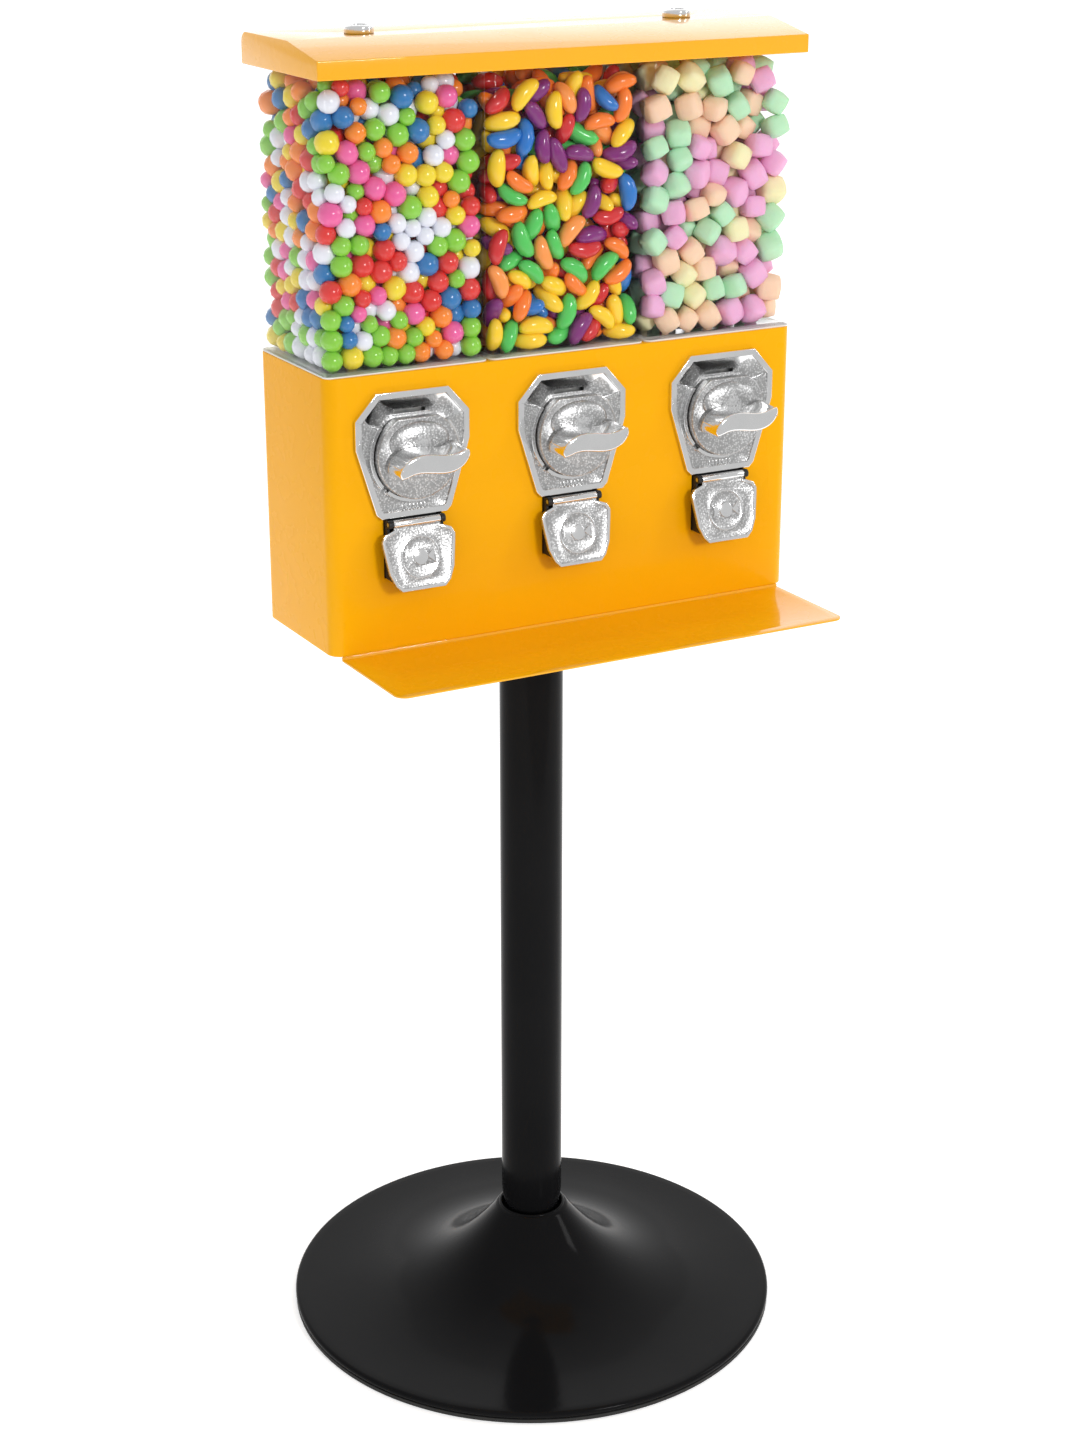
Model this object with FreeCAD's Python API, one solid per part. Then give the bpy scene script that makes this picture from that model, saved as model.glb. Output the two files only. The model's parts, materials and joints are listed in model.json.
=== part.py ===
import FreeCAD, Part
import math
import os

# Candy bulk dispenser: three clear candy hoppers on a sheet steel cabinet, each with its own coin
# mechanism, metering wheel, chute and flap, a shared catch tray, and a pedestal stand.
#
# Frame: millimetres, +Z up, the customer stands at -Y and looks along +Y, +X is to the right.
# The origin is the centre of the base on the floor, on the pole's axis.

V = FreeCAD.Vector

# ---------------------------------------------------------------- driving dimensions
# Heads
HEADS = ("left", "middle", "right")
FILL_NAMES = {"left": "gumball_fill", "middle": "jelly_bean_fill", "right": "marshmallow_fill"}
PITCH = 130.0                 # from one head's centre line to the next

# Stand
BASE_RADIUS = 201.0
BASE_RIM_HEIGHT = 9.0         # top of the rolled rim
BASE_RIM_BEAD = 3.0           # radius of the rolled edge
BASE_WALL = 3.0
FLARE_POWER = 3.4             # how late the dish sweeps up into the collar
COLLAR_TOP = 82.0
COLLAR_WALL = 2.6
POLE_SEAT = 64.0              # height of the ledge that the pole stands on
POLE_RADIUS = 25.0
POLE_WALL = 1.8
EDGE_RING_HEIGHT = 3.0
EDGE_RING_WIDTH = 5.0
HUB_WEB = 4.0                 # thickness of the ledge that the pole stands on
WEIGHT_RADIUS = 130.0
WEIGHT_BOTTOM = 14.0
WEIGHT_GAP = 1.0              # between the weight and the dish
WEIGHT_TOP_DROP = 10.0        # weight's top below the pole's ledge
WEIGHT_RIM = 6.0              # thickness at the weight's outer edge
TIE_ROD_RADIUS = 5.0
TIE_ROD_END = 2.0             # rod beyond its nuts
TIE_NUT_RADIUS = 9.0
TIE_NUT_HEIGHT = 8.0
PRESS_GAP = 0.02              # tube in its collar
HOLE_CLEARANCE = 0.2          # bolt or rod in its hole
TOP_FLANGE_MARGIN = 18.0      # flange radius beyond the pole
TOP_FLANGE_THICKNESS = 4.0
TOP_COLLAR_HEIGHT = 24.0
TOP_COLLAR_WALL = 4.0
FLANGE_BOLT_RADIUS = 3.0
BOLT_HEAD_HEIGHT = 4.0
BOLT_HEAD_SHARE = 1.8         # head radius as a share of the shank's
BOLT_END = 1.0                # shank beyond its nut

# Cabinet
CABINET_BOTTOM = 614.0
CABINET_HEIGHT = 204.0
CABINET_DEPTH = 120.0
CABINET_CORNER = 11.0
SHEET = 1.5
FLOOR_HEM = 12.0

# Catch tray
TRAY_SIDE_MARGIN = 7.0        # tray's end inside the cabinet's side
TRAY_REACH = 93.0             # from the cabinet's face to the tray's front edge
TRAY_DROP = 2.0               # rim below the cabinet's bottom edge
TRAY_LIP = 7.0
TRAY_SIDE_SLOPE = 30.0
TRAY_BACK_SLOPE = 26.0
TRAY_SINK = 7.4               # crease below the rim
TRAY_CORNER = 9.0
TRAY_FLANGE = 12.0
TRAY_SCREW_RADIUS = 2.0
TRAY_SCREW_INSET = 38.5       # outer screws from the tray's ends
TRAY_SCREW_HEAD = 1.6
TRAY_NUT_HEIGHT = 3.0

# Coin plate, measured from the knob's axis
KNOB_BELOW_TOP = 58.0         # knob axis below the cabinet's top
PLATE_HALF_WIDTH = 45.0
PLATE_TOP_HALF_WIDTH = 28.5
PLATE_FOOT_HALF_WIDTH = 30.0
PLATE_TOP = 45.2
PLATE_CHAMFER_FOOT = 26.8
PLATE_TAPER_TOP = 6.0
PLATE_BOTTOM = 46.6
PLATE_FOOT_ROUND = 4.0
PLATE_PROUD = 4.0             # flange thickness in front of the cabinet
PLATE_BORDER = 4.6
PLATE_RECESS = 2.1
PLATE_BOSS = 3.0              # casting behind the cabinet's face
PLATE_EDGE_ROUND = 0.7
PLATE_SKIN = 1.2              # metal left behind the coin pocket
POCKET_SHELF_MARGIN = 4.0     # shelf beyond the slot's ends
POCKET_TOP_INSET = 2.2
POCKET_SIDE_DROP = 1.6
POCKET_SIDE_SHARE = 0.75      # depth of the corner facets' inner point
DRIP_NOTCH = 2.6              # half width of the notches in the ring wall
RIB_COUNT = 7
RIB_STEP = 3.0
RIB_HALF_WIDTH = 0.6
RIB_PROUD = 0.7
RIB_FOOT = 4.8                # ribs above the plate's foot
RIB_LENGTH = 4.2
PLATE_SEAT = 5.0              # flange overlap on the cabinet's opening
RING_WALL = 2.8
RING_PROUD = 2.6
SLOT_HALF_WIDTH = 12.6
SLOT_HEIGHT = 3.0
SLOT_ABOVE_FLAT = 0.7
SCREW_RADIUS = 1.5

# Knob
KNOB_RADIUS = 32.0
KNOB_FLAT_DROP = 4.4          # flat below the top of the dial's circle
KNOB_SOCKET = 4.0             # spindle into the knob
KNOB_FACE = 13.4              # dial face in front of the cabinet
KNOB_BACK = 6.4               # dial back in front of the cabinet
HANDLE_HALF_LENGTH = 26.2
HANDLE_REACH = 26.5           # handle in front of the dial
HANDLE_TIP = 5.7              # half thickness at the tips
HANDLE_MIDDLE = 6.8           # half thickness at the axis
HANDLE_RISE = 5.0             # right tip above the axis, left tip below it
HANDLE_SWING = 8.9            # how far the S bows
HANDLE_DROP = 0.8             # grip below the axis as a whole
HANDLE_ROOT = 1.5             # extra half thickness where it leaves the dial
RING_CLEARANCE = 0.6          # between the dial's edge and the ring wall

# Coin mechanism behind the plate
SPINDLE_RADIUS = 6.0
SPINDLE_FLAT_SHARE = 0.7      # height of the drive flat as a share of the radius
SPINDLE_END = 4.0             # spindle beyond the gear
SPINDLE_CLEARANCE = 0.05
COIN_WHEEL_RADIUS = 27.0
COIN_WHEEL_THICKNESS = 3.4
COIN_RADIUS = 12.4
RATCHET_TEETH = 24
RATCHET_DEPTH = 1.6
BACK_WALL = 1.6
MECH_GAP = 0.3                # running gap on each side of the coin wheel
COIN_DROP_MARGIN = 1.5
COIN_DROP_HEIGHT = 14.0
LUG_MARGIN = 1.6              # screw lug radius beyond the screw's
PAWL_LIFT = 0.35              # pawl's tip off the ratchet's crest
PAWL_PIVOT_X = -30.0
PAWL_PIVOT_UP = 22.0
PAWL_PIN_RADIUS = 1.4
PAWL_EYE_RADIUS = 3.0

# Metering drive
MODULE = 4.0
GEAR_TEETH = 12
CROWN_TEETH = 21
GEAR_WIDTH = 6.0
TOOTH_ADDENDUM = 3.0
TOOTH_DEDENDUM = 4.0
TOOTH_SHARE = 0.37            # tooth thickness as a share of the circular pitch
FLANK_SLOPE = 0.36            # flank half thickness lost per millimetre of height
WHEEL_DISC = 16.0
WHEEL_EDGE = 1.0
WHEEL_CLEARANCE = 1.0
AXLE_RADIUS = 4.0
AXLE_CLEARANCE = 0.05
POCKET_COUNT = 5
POCKET_RADIUS = 11.0
POCKET_CIRCLE = 24.0
HOUSING_WALL = 2.0
HOUSING_FLOOR = 3.0
HOUSING_FLANGE = 1.2
FLOOR_GAP = 0.5
GUARD_THICKNESS = 2.4
GUARD_MARGIN = 2.0
DROP_MARGIN = 1.0             # drop hole radius beyond a pocket's

# Chute and flap
CHUTE_HALF_WIDTH = 22.5
CHUTE_WALL = 2.2
CHUTE_DEPTH_BELOW_KNOB = 91.0
CHUTE_KNEE_BELOW_KNOB = 12.0  # where the shaft's front wall bends forward
CHUTE_BEND_BELOW_KNOB = 30.0  # where its back wall does
HINGE_END_GAP = 0.5           # between the flap's barrel and the chute's ears
FLAP_HINGE_PROUD = 6.0
FLAP_HINGE_BELOW_PLATE = 3.6
FLAP_TILT = 12.0
FLAP_LENGTH = 49.0
FLAP_SHOULDER_HALF_WIDTH = 29.0
FLAP_BARREL_HALF_LENGTH = 18.5
FLAP_HIP_HALF_WIDTH = 25.6
FLAP_HIP_UP = 13.5            # hip above the flap's foot
FLAP_FOOT_HALF_WIDTH = 17.2
FLAP_CORNER = 4.4
FLAP_RIM_WIDTH = 2.2
FLAP_LINE = 1.1               # width of the emblem's ring
FLAP_THICKNESS = 2.2
FLAP_RIM = 1.0
FLAP_EMBLEM_RADIUS = 15.5
BARREL_RADIUS = 2.9
PIN_RADIUS = 1.5
PIN_CLEARANCE = 0.06
EYE_RADIUS = 3.1
REST_GAP = 0.4                # flap to the chute's mouth

# Hoppers
CANISTER_GAP = 1.5            # between two canisters
CANISTER_SETBACK = 2.0        # behind the cabinet's face
CANISTER_WALL = 2.2
CANISTER_CORNER = 6.0
CANISTER_HEIGHT = 212.3
FILL_GAP = 0.4
FILL_BELOW_RIM = 7.0
ROD_RADIUS = 4.0
SPIGOT_RADIUS = 3.0
SPIGOT_CLEARANCE = 0.3

# Lid
LID_SIDE_OVERHANG = 2.0
LID_FRONT_OVERHANG = 5.0
LID_BACK_OVERHANG = 5.0
LID_SKIRT = 10.0              # skirt below the canister rims
LID_LIP = 13.0                # height of the upright front
LID_HEIGHT = 22.4
LID_SLOPE = 50.0              # from the front edge to the crease
LID_SHEET = 1.2
LID_BACK_ROUND = 8.0

# Locks
LOCK_SETBACK = 12.0           # behind the hopper's centre
LOCK_RADIUS = 10.6
LOCK_HEIGHT = 5.8
LOCK_CHAMFER = 1.4
LOCK_SLEEVE = 8.6
LOCK_NUT_MARGIN = 3.0
LOCK_NUT_HEIGHT = 3.0
PLUG_RADIUS = 6.6
KEYWAY_RING = 1.4             # key slot inside the plug's edge
KEYWAY_WIDTH = 1.5
KEYWAY_DEPTH = 3.0
PLUG_CLEARANCE = 0.05

# ---------------------------------------------------------------- places worked out from them
FRONT = -CABINET_DEPTH / 2
BACK = CABINET_DEPTH / 2
HALF_WIDTH = PITCH * len(HEADS) / 2
TRAY_HALF_WIDTH = HALF_WIDTH - TRAY_SIDE_MARGIN
KNOB_FLAT = KNOB_RADIUS - KNOB_FLAT_DROP
CABINET_TOP = CABINET_BOTTOM + CABINET_HEIGHT
KNOB_Z = CABINET_TOP - KNOB_BELOW_TOP
HEAD_X = {"left": -PITCH, "middle": 0.0, "right": PITCH}
LOCKED_HEADS = ("left", "right")

COLLAR_RADIUS = POLE_RADIUS + COLLAR_WALL
CABINET_FLOOR_TOP = CABINET_BOTTOM + SHEET
TOP_FLANGE_RADIUS = POLE_RADIUS + TOP_FLANGE_MARGIN
FLANGE_BOLT_CIRCLE = POLE_RADIUS + TOP_COLLAR_WALL + FLANGE_BOLT_RADIUS + 4.0

PLATE_FACE = FRONT - PLATE_PROUD
BOSS_BACK = FRONT + PLATE_BOSS
SPINDLE_FLAT = SPINDLE_RADIUS * SPINDLE_FLAT_SHARE
KNOB_FACE_Y = FRONT - KNOB_FACE
KNOB_BACK_Y = FRONT - KNOB_BACK
RING_INNER = KNOB_RADIUS + RING_CLEARANCE
SLOT_BOTTOM = KNOB_Z + KNOB_FLAT + SLOT_ABOVE_FLAT
COIN_WHEEL_FRONT = BOSS_BACK + MECH_GAP
COIN_WHEEL_BACK = COIN_WHEEL_FRONT + COIN_WHEEL_THICKNESS
BACK_PLATE_FRONT = COIN_WHEEL_BACK + MECH_GAP
BACK_PLATE_BACK = BACK_PLATE_FRONT + BACK_WALL

GEAR_PITCH_RADIUS = MODULE * GEAR_TEETH / 2
CROWN_PITCH_RADIUS = MODULE * CROWN_TEETH / 2
GEAR_TIP_RADIUS = GEAR_PITCH_RADIUS + TOOTH_ADDENDUM
GEAR_ROOT_RADIUS = GEAR_PITCH_RADIUS - TOOTH_DEDENDUM
TOOTH_HALF = math.pi * MODULE * TOOTH_SHARE / 2
MESH_Z = KNOB_Z + GEAR_PITCH_RADIUS
CROWN_TIP_Z = MESH_Z - TOOTH_ADDENDUM
CROWN_ROOT_Z = MESH_Z + TOOTH_DEDENDUM
CROWN_FACE = GEAR_WIDTH + 2.0
CROWN_INNER = CROWN_PITCH_RADIUS - CROWN_FACE / 2
CROWN_OUTER = CROWN_PITCH_RADIUS + CROWN_FACE / 2
GEAR_FRONT = -CROWN_PITCH_RADIUS - GEAR_WIDTH / 2
GEAR_BACK = -CROWN_PITCH_RADIUS + GEAR_WIDTH / 2
WHEEL_RADIUS = CROWN_OUTER + WHEEL_EDGE
WHEEL_TOP = CROWN_ROOT_Z + WHEEL_DISC
POCKET_SLEEVE_RADIUS = CROWN_INNER - 1.2
HOUSING_INNER = WHEEL_RADIUS + WHEEL_CLEARANCE
HOUSING_OUTER = HOUSING_INNER + HOUSING_WALL
FLOOR_TOP = CROWN_TIP_Z - FLOOR_GAP
FLOOR_BOTTOM = FLOOR_TOP - HOUSING_FLOOR
FLANGE_TOP = CABINET_TOP + HOUSING_FLANGE
GUARD_BOTTOM = WHEEL_TOP + 0.6
GUARD_TOP = GUARD_BOTTOM + GUARD_THICKNESS
POST_TOP = GUARD_TOP + 0.6

HINGE_Y = FRONT - FLAP_HINGE_PROUD
HINGE_Z = KNOB_Z - PLATE_BOTTOM - FLAP_HINGE_BELOW_PLATE
CHUTE_BOTTOM = KNOB_Z - CHUTE_DEPTH_BELOW_KNOB

CANISTER_HALF_WIDTH = (PITCH - CANISTER_GAP) / 2
CANISTER_HALF_DEPTH = CABINET_DEPTH / 2 - CANISTER_SETBACK
CANISTER_RIM = FLANGE_TOP + CANISTER_HEIGHT
CANISTER_FLOOR_TOP = FLANGE_TOP + CANISTER_WALL
FILL_TOP = CANISTER_RIM - FILL_BELOW_RIM
LID_BOTTOM = CANISTER_RIM - LID_SKIRT
LID_TOP = LID_BOTTOM + LID_HEIGHT
LID_HALF_WIDTH = HALF_WIDTH + LID_SIDE_OVERHANG
LID_FRONT = FRONT - LID_FRONT_OVERHANG
LID_BACK = BACK + LID_BACK_OVERHANG
ROD_TOP = CANISTER_RIM - 2.0
PLUG_BOTTOM = ROD_TOP + 0.5
SPIGOT_TOP = LID_TOP - 4.0


# ---------------------------------------------------------------- shape helpers
def box(x0, x1, y0, y1, z0, z1):
    return Part.makeBox(x1 - x0, y1 - y0, z1 - z0, V(x0, y0, z0))


def rod_x(radius, x0, x1, y, z):
    return Part.makeCylinder(radius, x1 - x0, V(x0, y, z), V(1, 0, 0))


def rod_y(radius, y0, y1, x, z):
    return Part.makeCylinder(radius, y1 - y0, V(x, y0, z), V(0, 1, 0))


def rod_z(radius, z0, z1, x=0.0, y=0.0):
    return Part.makeCylinder(radius, z1 - z0, V(x, y, z0))


def hexagon_z(across_radius, z0, z1, x=0.0, y=0.0):
    corners = []
    for step in range(6):
        angle = math.radians(60 * step)
        corners.append(V(x + across_radius * math.cos(angle), y + across_radius * math.sin(angle), z0))
    return polygon(corners).extrude(V(0, 0, z1 - z0))


def polygon(points):
    return Part.Face(Part.makePolygon(points + [points[0]]))


def slab_x(outline_yz, x0, x1):
    return polygon([V(x0, y, z) for y, z in outline_yz]).extrude(V(x1 - x0, 0, 0))


def slab_y(outline_xz, y0, y1):
    return polygon([V(x, y0, z) for x, z in outline_xz]).extrude(V(0, y1 - y0, 0))


def slab_z(outline_xy, z0, z1):
    return polygon([V(x, y, z0) for x, y in outline_xy]).extrude(V(0, 0, z1 - z0))


def upright_edges(shape):
    found = []
    for edge in shape.Edges:
        start = edge.Vertexes[0].Point
        end = edge.Vertexes[-1].Point
        if abs(start.x - end.x) < 1e-6 and abs(start.y - end.y) < 1e-6:
            found.append(edge)
    return found


def rounded_box(x0, x1, y0, y1, z0, z1, radius):
    block = box(x0, x1, y0, y1, z0, z1)
    return block.makeFillet(radius, upright_edges(block))


def fused(shapes):
    whole = shapes[0]
    for shape in shapes[1:]:
        whole = whole.fuse(shape)
    return whole.removeSplitter()


def cut_all(shape, tools):
    for tool in tools:
        shape = shape.cut(tool)
    return shape


def mirrored_x(shape):
    return shape.mirror(V(0, 0, 0), V(1, 0, 0))


def turned(shape, centre, axis, degrees):
    copy = shape.copy()
    copy.rotate(centre, axis, degrees)
    return copy


def revolved_z(edges):
    return Part.Face(Part.Wire(edges)).revolve(V(0, 0, 0), V(0, 0, 1), 360)


def line(a, b):
    return Part.LineSegment(a, b).toShape()


def smooth(points):
    curve = Part.BSplineCurve()
    curve.interpolate(points)
    return curve.toShape()


# ---------------------------------------------------------------- stand
def dish_height(radius):
    reach = (BASE_RADIUS - radius) / (BASE_RADIUS - COLLAR_RADIUS)
    return BASE_RIM_HEIGHT + (COLLAR_TOP - BASE_RIM_HEIGHT) * max(reach, 0.0) ** FLARE_POWER


def dish_radius(height):
    share = (height - BASE_RIM_HEIGHT) / (COLLAR_TOP - BASE_RIM_HEIGHT)
    return BASE_RADIUS - (BASE_RADIUS - COLLAR_RADIUS) * share ** (1 / FLARE_POWER)


def flare(radius_start, radius_end, below):
    points = []
    count = 14
    for step in range(count + 1):
        radius = radius_start + (radius_end - radius_start) * step / count
        points.append(V(radius, 0, dish_height(radius) - below))
    return points


def base_dish():
    rim_inner = BASE_RADIUS - BASE_RIM_BEAD
    hub_bore = TIE_ROD_RADIUS + HOLE_CLEARANCE
    web_bottom = POLE_SEAT - HUB_WEB
    hollow_start = dish_radius(web_bottom + BASE_WALL)
    outer = flare(COLLAR_RADIUS, rim_inner, 0.0)
    inner = flare(hollow_start, rim_inner - 0.6, BASE_WALL)
    pole_bore = POLE_RADIUS + PRESS_GAP
    bead_top = outer[-1]
    bead_side = V(BASE_RADIUS, 0, bead_top.z - BASE_RIM_BEAD)
    half_turn = math.sqrt(0.5)
    bead_middle = V(rim_inner + BASE_RIM_BEAD * half_turn, 0, bead_top.z - BASE_RIM_BEAD * (1 - half_turn))
    foot = V(BASE_RADIUS, 0, EDGE_RING_HEIGHT)
    foot_in = V(inner[-1].x, 0, EDGE_RING_HEIGHT)
    edges = [
        line(V(hub_bore, 0, web_bottom), V(hub_bore, 0, POLE_SEAT)),
        line(V(hub_bore, 0, POLE_SEAT), V(pole_bore, 0, POLE_SEAT)),
        line(V(pole_bore, 0, POLE_SEAT), V(pole_bore, 0, COLLAR_TOP)),
        line(V(pole_bore, 0, COLLAR_TOP), outer[0]),
        smooth(outer),
        Part.Arc(bead_top, bead_middle, bead_side).toShape(),
        line(bead_side, foot),
        line(foot, foot_in),
        line(foot_in, inner[-1]),
        smooth(inner[::-1]),
        line(inner[0], V(hub_bore, 0, web_bottom)),
    ]
    return revolved_z(edges)


def base_edge_ring():
    outer = BASE_RADIUS - 0.4
    ring = rod_z(outer, 0.0, EDGE_RING_HEIGHT).cut(rod_z(outer - EDGE_RING_WIDTH, 0.0, EDGE_RING_HEIGHT))
    return ring


def base_weight():
    """Iron casting that follows the dish's underside, with a recess for the lower nut."""
    upper = []
    for point in flare(dish_radius(POLE_SEAT - HUB_WEB - WEIGHT_TOP_DROP), WEIGHT_RADIUS, BASE_WALL + WEIGHT_GAP):
        if point.z > WEIGHT_BOTTOM:
            upper.append(point)
    bore = TIE_ROD_RADIUS + HOLE_CLEARANCE
    recess = TIE_NUT_RADIUS + 2.0
    recess_foot = recess + TIE_NUT_RADIUS + 14.0
    edge = V(upper[-1].x, 0, upper[-1].z - 1.0)
    foot = V(edge.x - 3.0, 0, edge.z - WEIGHT_RIM)
    edges = [
        line(V(bore, 0, WEIGHT_BOTTOM), V(bore, 0, upper[0].z)),
        line(V(bore, 0, upper[0].z), upper[0]),
        smooth(upper),
        line(upper[-1], edge),
        line(edge, foot),
        line(foot, V(recess_foot, 0, foot.z)),
        line(V(recess_foot, 0, foot.z), V(recess, 0, WEIGHT_BOTTOM)),
        line(V(recess, 0, WEIGHT_BOTTOM), V(bore, 0, WEIGHT_BOTTOM)),
    ]
    return revolved_z(edges)


def pole():
    top = CABINET_BOTTOM - TOP_FLANGE_THICKNESS
    tube = rod_z(POLE_RADIUS, POLE_SEAT, top)
    return tube.cut(rod_z(POLE_RADIUS - POLE_WALL, POLE_SEAT, top))


def tie_rod():
    low = WEIGHT_BOTTOM - TIE_NUT_HEIGHT - TIE_ROD_END
    return rod_z(TIE_ROD_RADIUS, low, CABINET_FLOOR_TOP + TIE_NUT_HEIGHT + TIE_ROD_END)


def tie_rod_nuts():
    bore = TIE_ROD_RADIUS + 0.01
    solids = []
    for bottom in (WEIGHT_BOTTOM - TIE_NUT_HEIGHT, CABINET_FLOOR_TOP):
        nut = hexagon_z(TIE_NUT_RADIUS, bottom, bottom + TIE_NUT_HEIGHT)
        solids.append(nut.cut(rod_z(bore, bottom, bottom + TIE_NUT_HEIGHT)))
    return Part.makeCompound(solids)


def flange_bolt_places():
    places = []
    for quarter in range(4):
        angle = math.radians(45 + 90 * quarter)
        places.append((FLANGE_BOLT_CIRCLE * math.cos(angle), FLANGE_BOLT_CIRCLE * math.sin(angle)))
    return places


def top_flange():
    top = CABINET_BOTTOM
    under = top - TOP_FLANGE_THICKNESS
    plate = rod_z(TOP_FLANGE_RADIUS, under, top)
    collar = rod_z(POLE_RADIUS + TOP_COLLAR_WALL, under - TOP_COLLAR_HEIGHT, under)
    bore = rod_z(POLE_RADIUS + PRESS_GAP, under - TOP_COLLAR_HEIGHT, under)
    holes = [rod_z(TIE_ROD_RADIUS + HOLE_CLEARANCE, under, top)]
    for x, y in flange_bolt_places():
        holes.append(rod_z(FLANGE_BOLT_RADIUS + HOLE_CLEARANCE, under, top, x, y))
    return cut_all(fused([plate, collar]), [bore] + holes)


def flange_bolts():
    solids = []
    shank_bottom = CABINET_BOTTOM - TOP_FLANGE_THICKNESS
    nut_top = CABINET_FLOOR_TOP + BOLT_HEAD_HEIGHT
    head_radius = FLANGE_BOLT_RADIUS * BOLT_HEAD_SHARE
    for x, y in flange_bolt_places():
        head = hexagon_z(head_radius, shank_bottom - BOLT_HEAD_HEIGHT, shank_bottom, x, y)
        shank = rod_z(FLANGE_BOLT_RADIUS, shank_bottom, nut_top + BOLT_END, x, y)
        nut = hexagon_z(head_radius, CABINET_FLOOR_TOP, nut_top, x, y)
        solids.append(fused([head, shank, nut]))
    return Part.makeCompound(solids)


# ---------------------------------------------------------------- cabinet
def plate_outline(inset):
    half = [
        (PLATE_TOP_HALF_WIDTH, PLATE_TOP),
        (PLATE_HALF_WIDTH, PLATE_CHAMFER_FOOT),
        (PLATE_HALF_WIDTH, PLATE_TAPER_TOP),
        (PLATE_FOOT_HALF_WIDTH, PLATE_FOOT_ROUND - PLATE_BOTTOM),
        (PLATE_FOOT_HALF_WIDTH - PLATE_FOOT_ROUND, -PLATE_BOTTOM),
    ]
    right = [V(x, 0, KNOB_Z + up) for x, up in half]
    left = [V(-point.x, 0, point.z) for point in right[::-1]]
    face = polygon(right + left)
    if inset > 0:
        face = face.makeOffset2D(-inset, 2)
    return face


def outline_block(inset, y0, y1):
    face = plate_outline(inset)
    face.translate(V(0, y0, 0))
    return face.extrude(V(0, y1 - y0, 0))


def front_opening():
    mech = outline_block(PLATE_SEAT, FRONT - 1.0, FRONT + SHEET + 1.0)
    half = CHUTE_HALF_WIDTH + 0.5
    passage = box(-half, half, FRONT - 1.0, FRONT + SHEET + 1.0, CHUTE_BOTTOM - 0.5, KNOB_Z - PLATE_BOTTOM + 8.0)
    return [mech, passage]


def cabinet_shell():
    outer = rounded_box(-HALF_WIDTH, HALF_WIDTH, FRONT, BACK, CABINET_BOTTOM, CABINET_TOP, CABINET_CORNER)
    inner = rounded_box(
        -HALF_WIDTH + SHEET, HALF_WIDTH - SHEET, FRONT + SHEET, BACK - SHEET,
        CABINET_BOTTOM, CABINET_TOP - SHEET, CABINET_CORNER - SHEET)
    shell = outer.cut(inner)
    for head in HEADS:
        x = HEAD_X[head]
        tools = [rod_z(HOUSING_OUTER + 0.3, CABINET_TOP - 2 * SHEET, CABINET_TOP + 1.0)] + front_opening()
        for tool in tools:
            moved = tool.copy()
            moved.translate(V(x, 0, 0))
            shell = shell.cut(moved)
    return shell


def tray_screw_places():
    y = FRONT + TRAY_FLANGE / 2 + 1.2
    outer = TRAY_HALF_WIDTH - TRAY_SCREW_INSET
    inner = PITCH / 2
    return [(x, y) for x in (-outer, -inner, inner, outer)]


def cabinet_floor():
    x = HALF_WIDTH - SHEET
    y0 = FRONT + SHEET
    y1 = BACK - SHEET
    corner = CABINET_CORNER - SHEET
    pan = rounded_box(-x, x, y0, y1, CABINET_BOTTOM, CABINET_FLOOR_TOP + FLOOR_HEM, corner)
    hollow = rounded_box(
        -x + SHEET, x - SHEET, y0 + SHEET, y1 - SHEET,
        CABINET_FLOOR_TOP, CABINET_FLOOR_TOP + FLOOR_HEM, corner - SHEET)
    holes = [rod_z(TIE_ROD_RADIUS + HOLE_CLEARANCE, CABINET_BOTTOM, CABINET_FLOOR_TOP)]
    for hole_x, hole_y in flange_bolt_places():
        holes.append(rod_z(FLANGE_BOLT_RADIUS + HOLE_CLEARANCE, CABINET_BOTTOM, CABINET_FLOOR_TOP, hole_x, hole_y))
    for hole_x, hole_y in tray_screw_places():
        holes.append(rod_z(TRAY_SCREW_RADIUS + 0.1, CABINET_BOTTOM, CABINET_FLOOR_TOP, hole_x, hole_y))
    return cut_all(pan.cut(hollow), holes)


def sheet_panel(corners):
    return polygon([V(*corner) for corner in corners]).extrude(V(0, 0, -SHEET))


def catch_tray():
    rim = CABINET_BOTTOM - TRAY_DROP
    low = rim - TRAY_SINK
    x_out = TRAY_HALF_WIDTH
    x_lip = x_out - TRAY_LIP
    x_low = x_lip - TRAY_SIDE_SLOPE
    y_back = FRONT + SHEET
    y_front = FRONT - TRAY_REACH
    y_lip = y_front + TRAY_LIP
    y_low = FRONT - TRAY_BACK_SLOPE
    back_panel = sheet_panel([(-x_lip, FRONT, rim), (x_lip, FRONT, rim), (x_low, y_low, low), (-x_low, y_low, low)])
    front_panel = sheet_panel([(-x_lip, y_lip, rim), (x_lip, y_lip, rim), (x_low, y_low, low), (-x_low, y_low, low)])
    side_panel = sheet_panel([(x_lip, FRONT, rim), (x_lip, y_lip, rim), (x_low, y_low, low)])
    lip_block = box(-x_out, x_out, y_front, FRONT, rim - SHEET, rim)
    front_edges = [edge for edge in upright_edges(lip_block) if edge.Vertexes[0].Point.y < y_lip]
    lip_block = lip_block.makeFillet(TRAY_CORNER, front_edges)
    lip = lip_block.cut(box(-x_lip, x_lip, y_lip, FRONT, rim - SHEET, rim))
    upstand = box(-x_out, x_out, FRONT, y_back, rim - SHEET, CABINET_BOTTOM)
    flange = box(-x_lip, x_lip, FRONT, FRONT + TRAY_FLANGE, CABINET_BOTTOM - SHEET, CABINET_BOTTOM)
    tray = fused([lip, back_panel, front_panel, side_panel, mirrored_x(side_panel), upstand, flange])
    holes = []
    for x, y in tray_screw_places():
        holes.append(rod_z(TRAY_SCREW_RADIUS + 0.1, CABINET_BOTTOM - SHEET, CABINET_BOTTOM, x, y))
    return cut_all(tray, holes)


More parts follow.
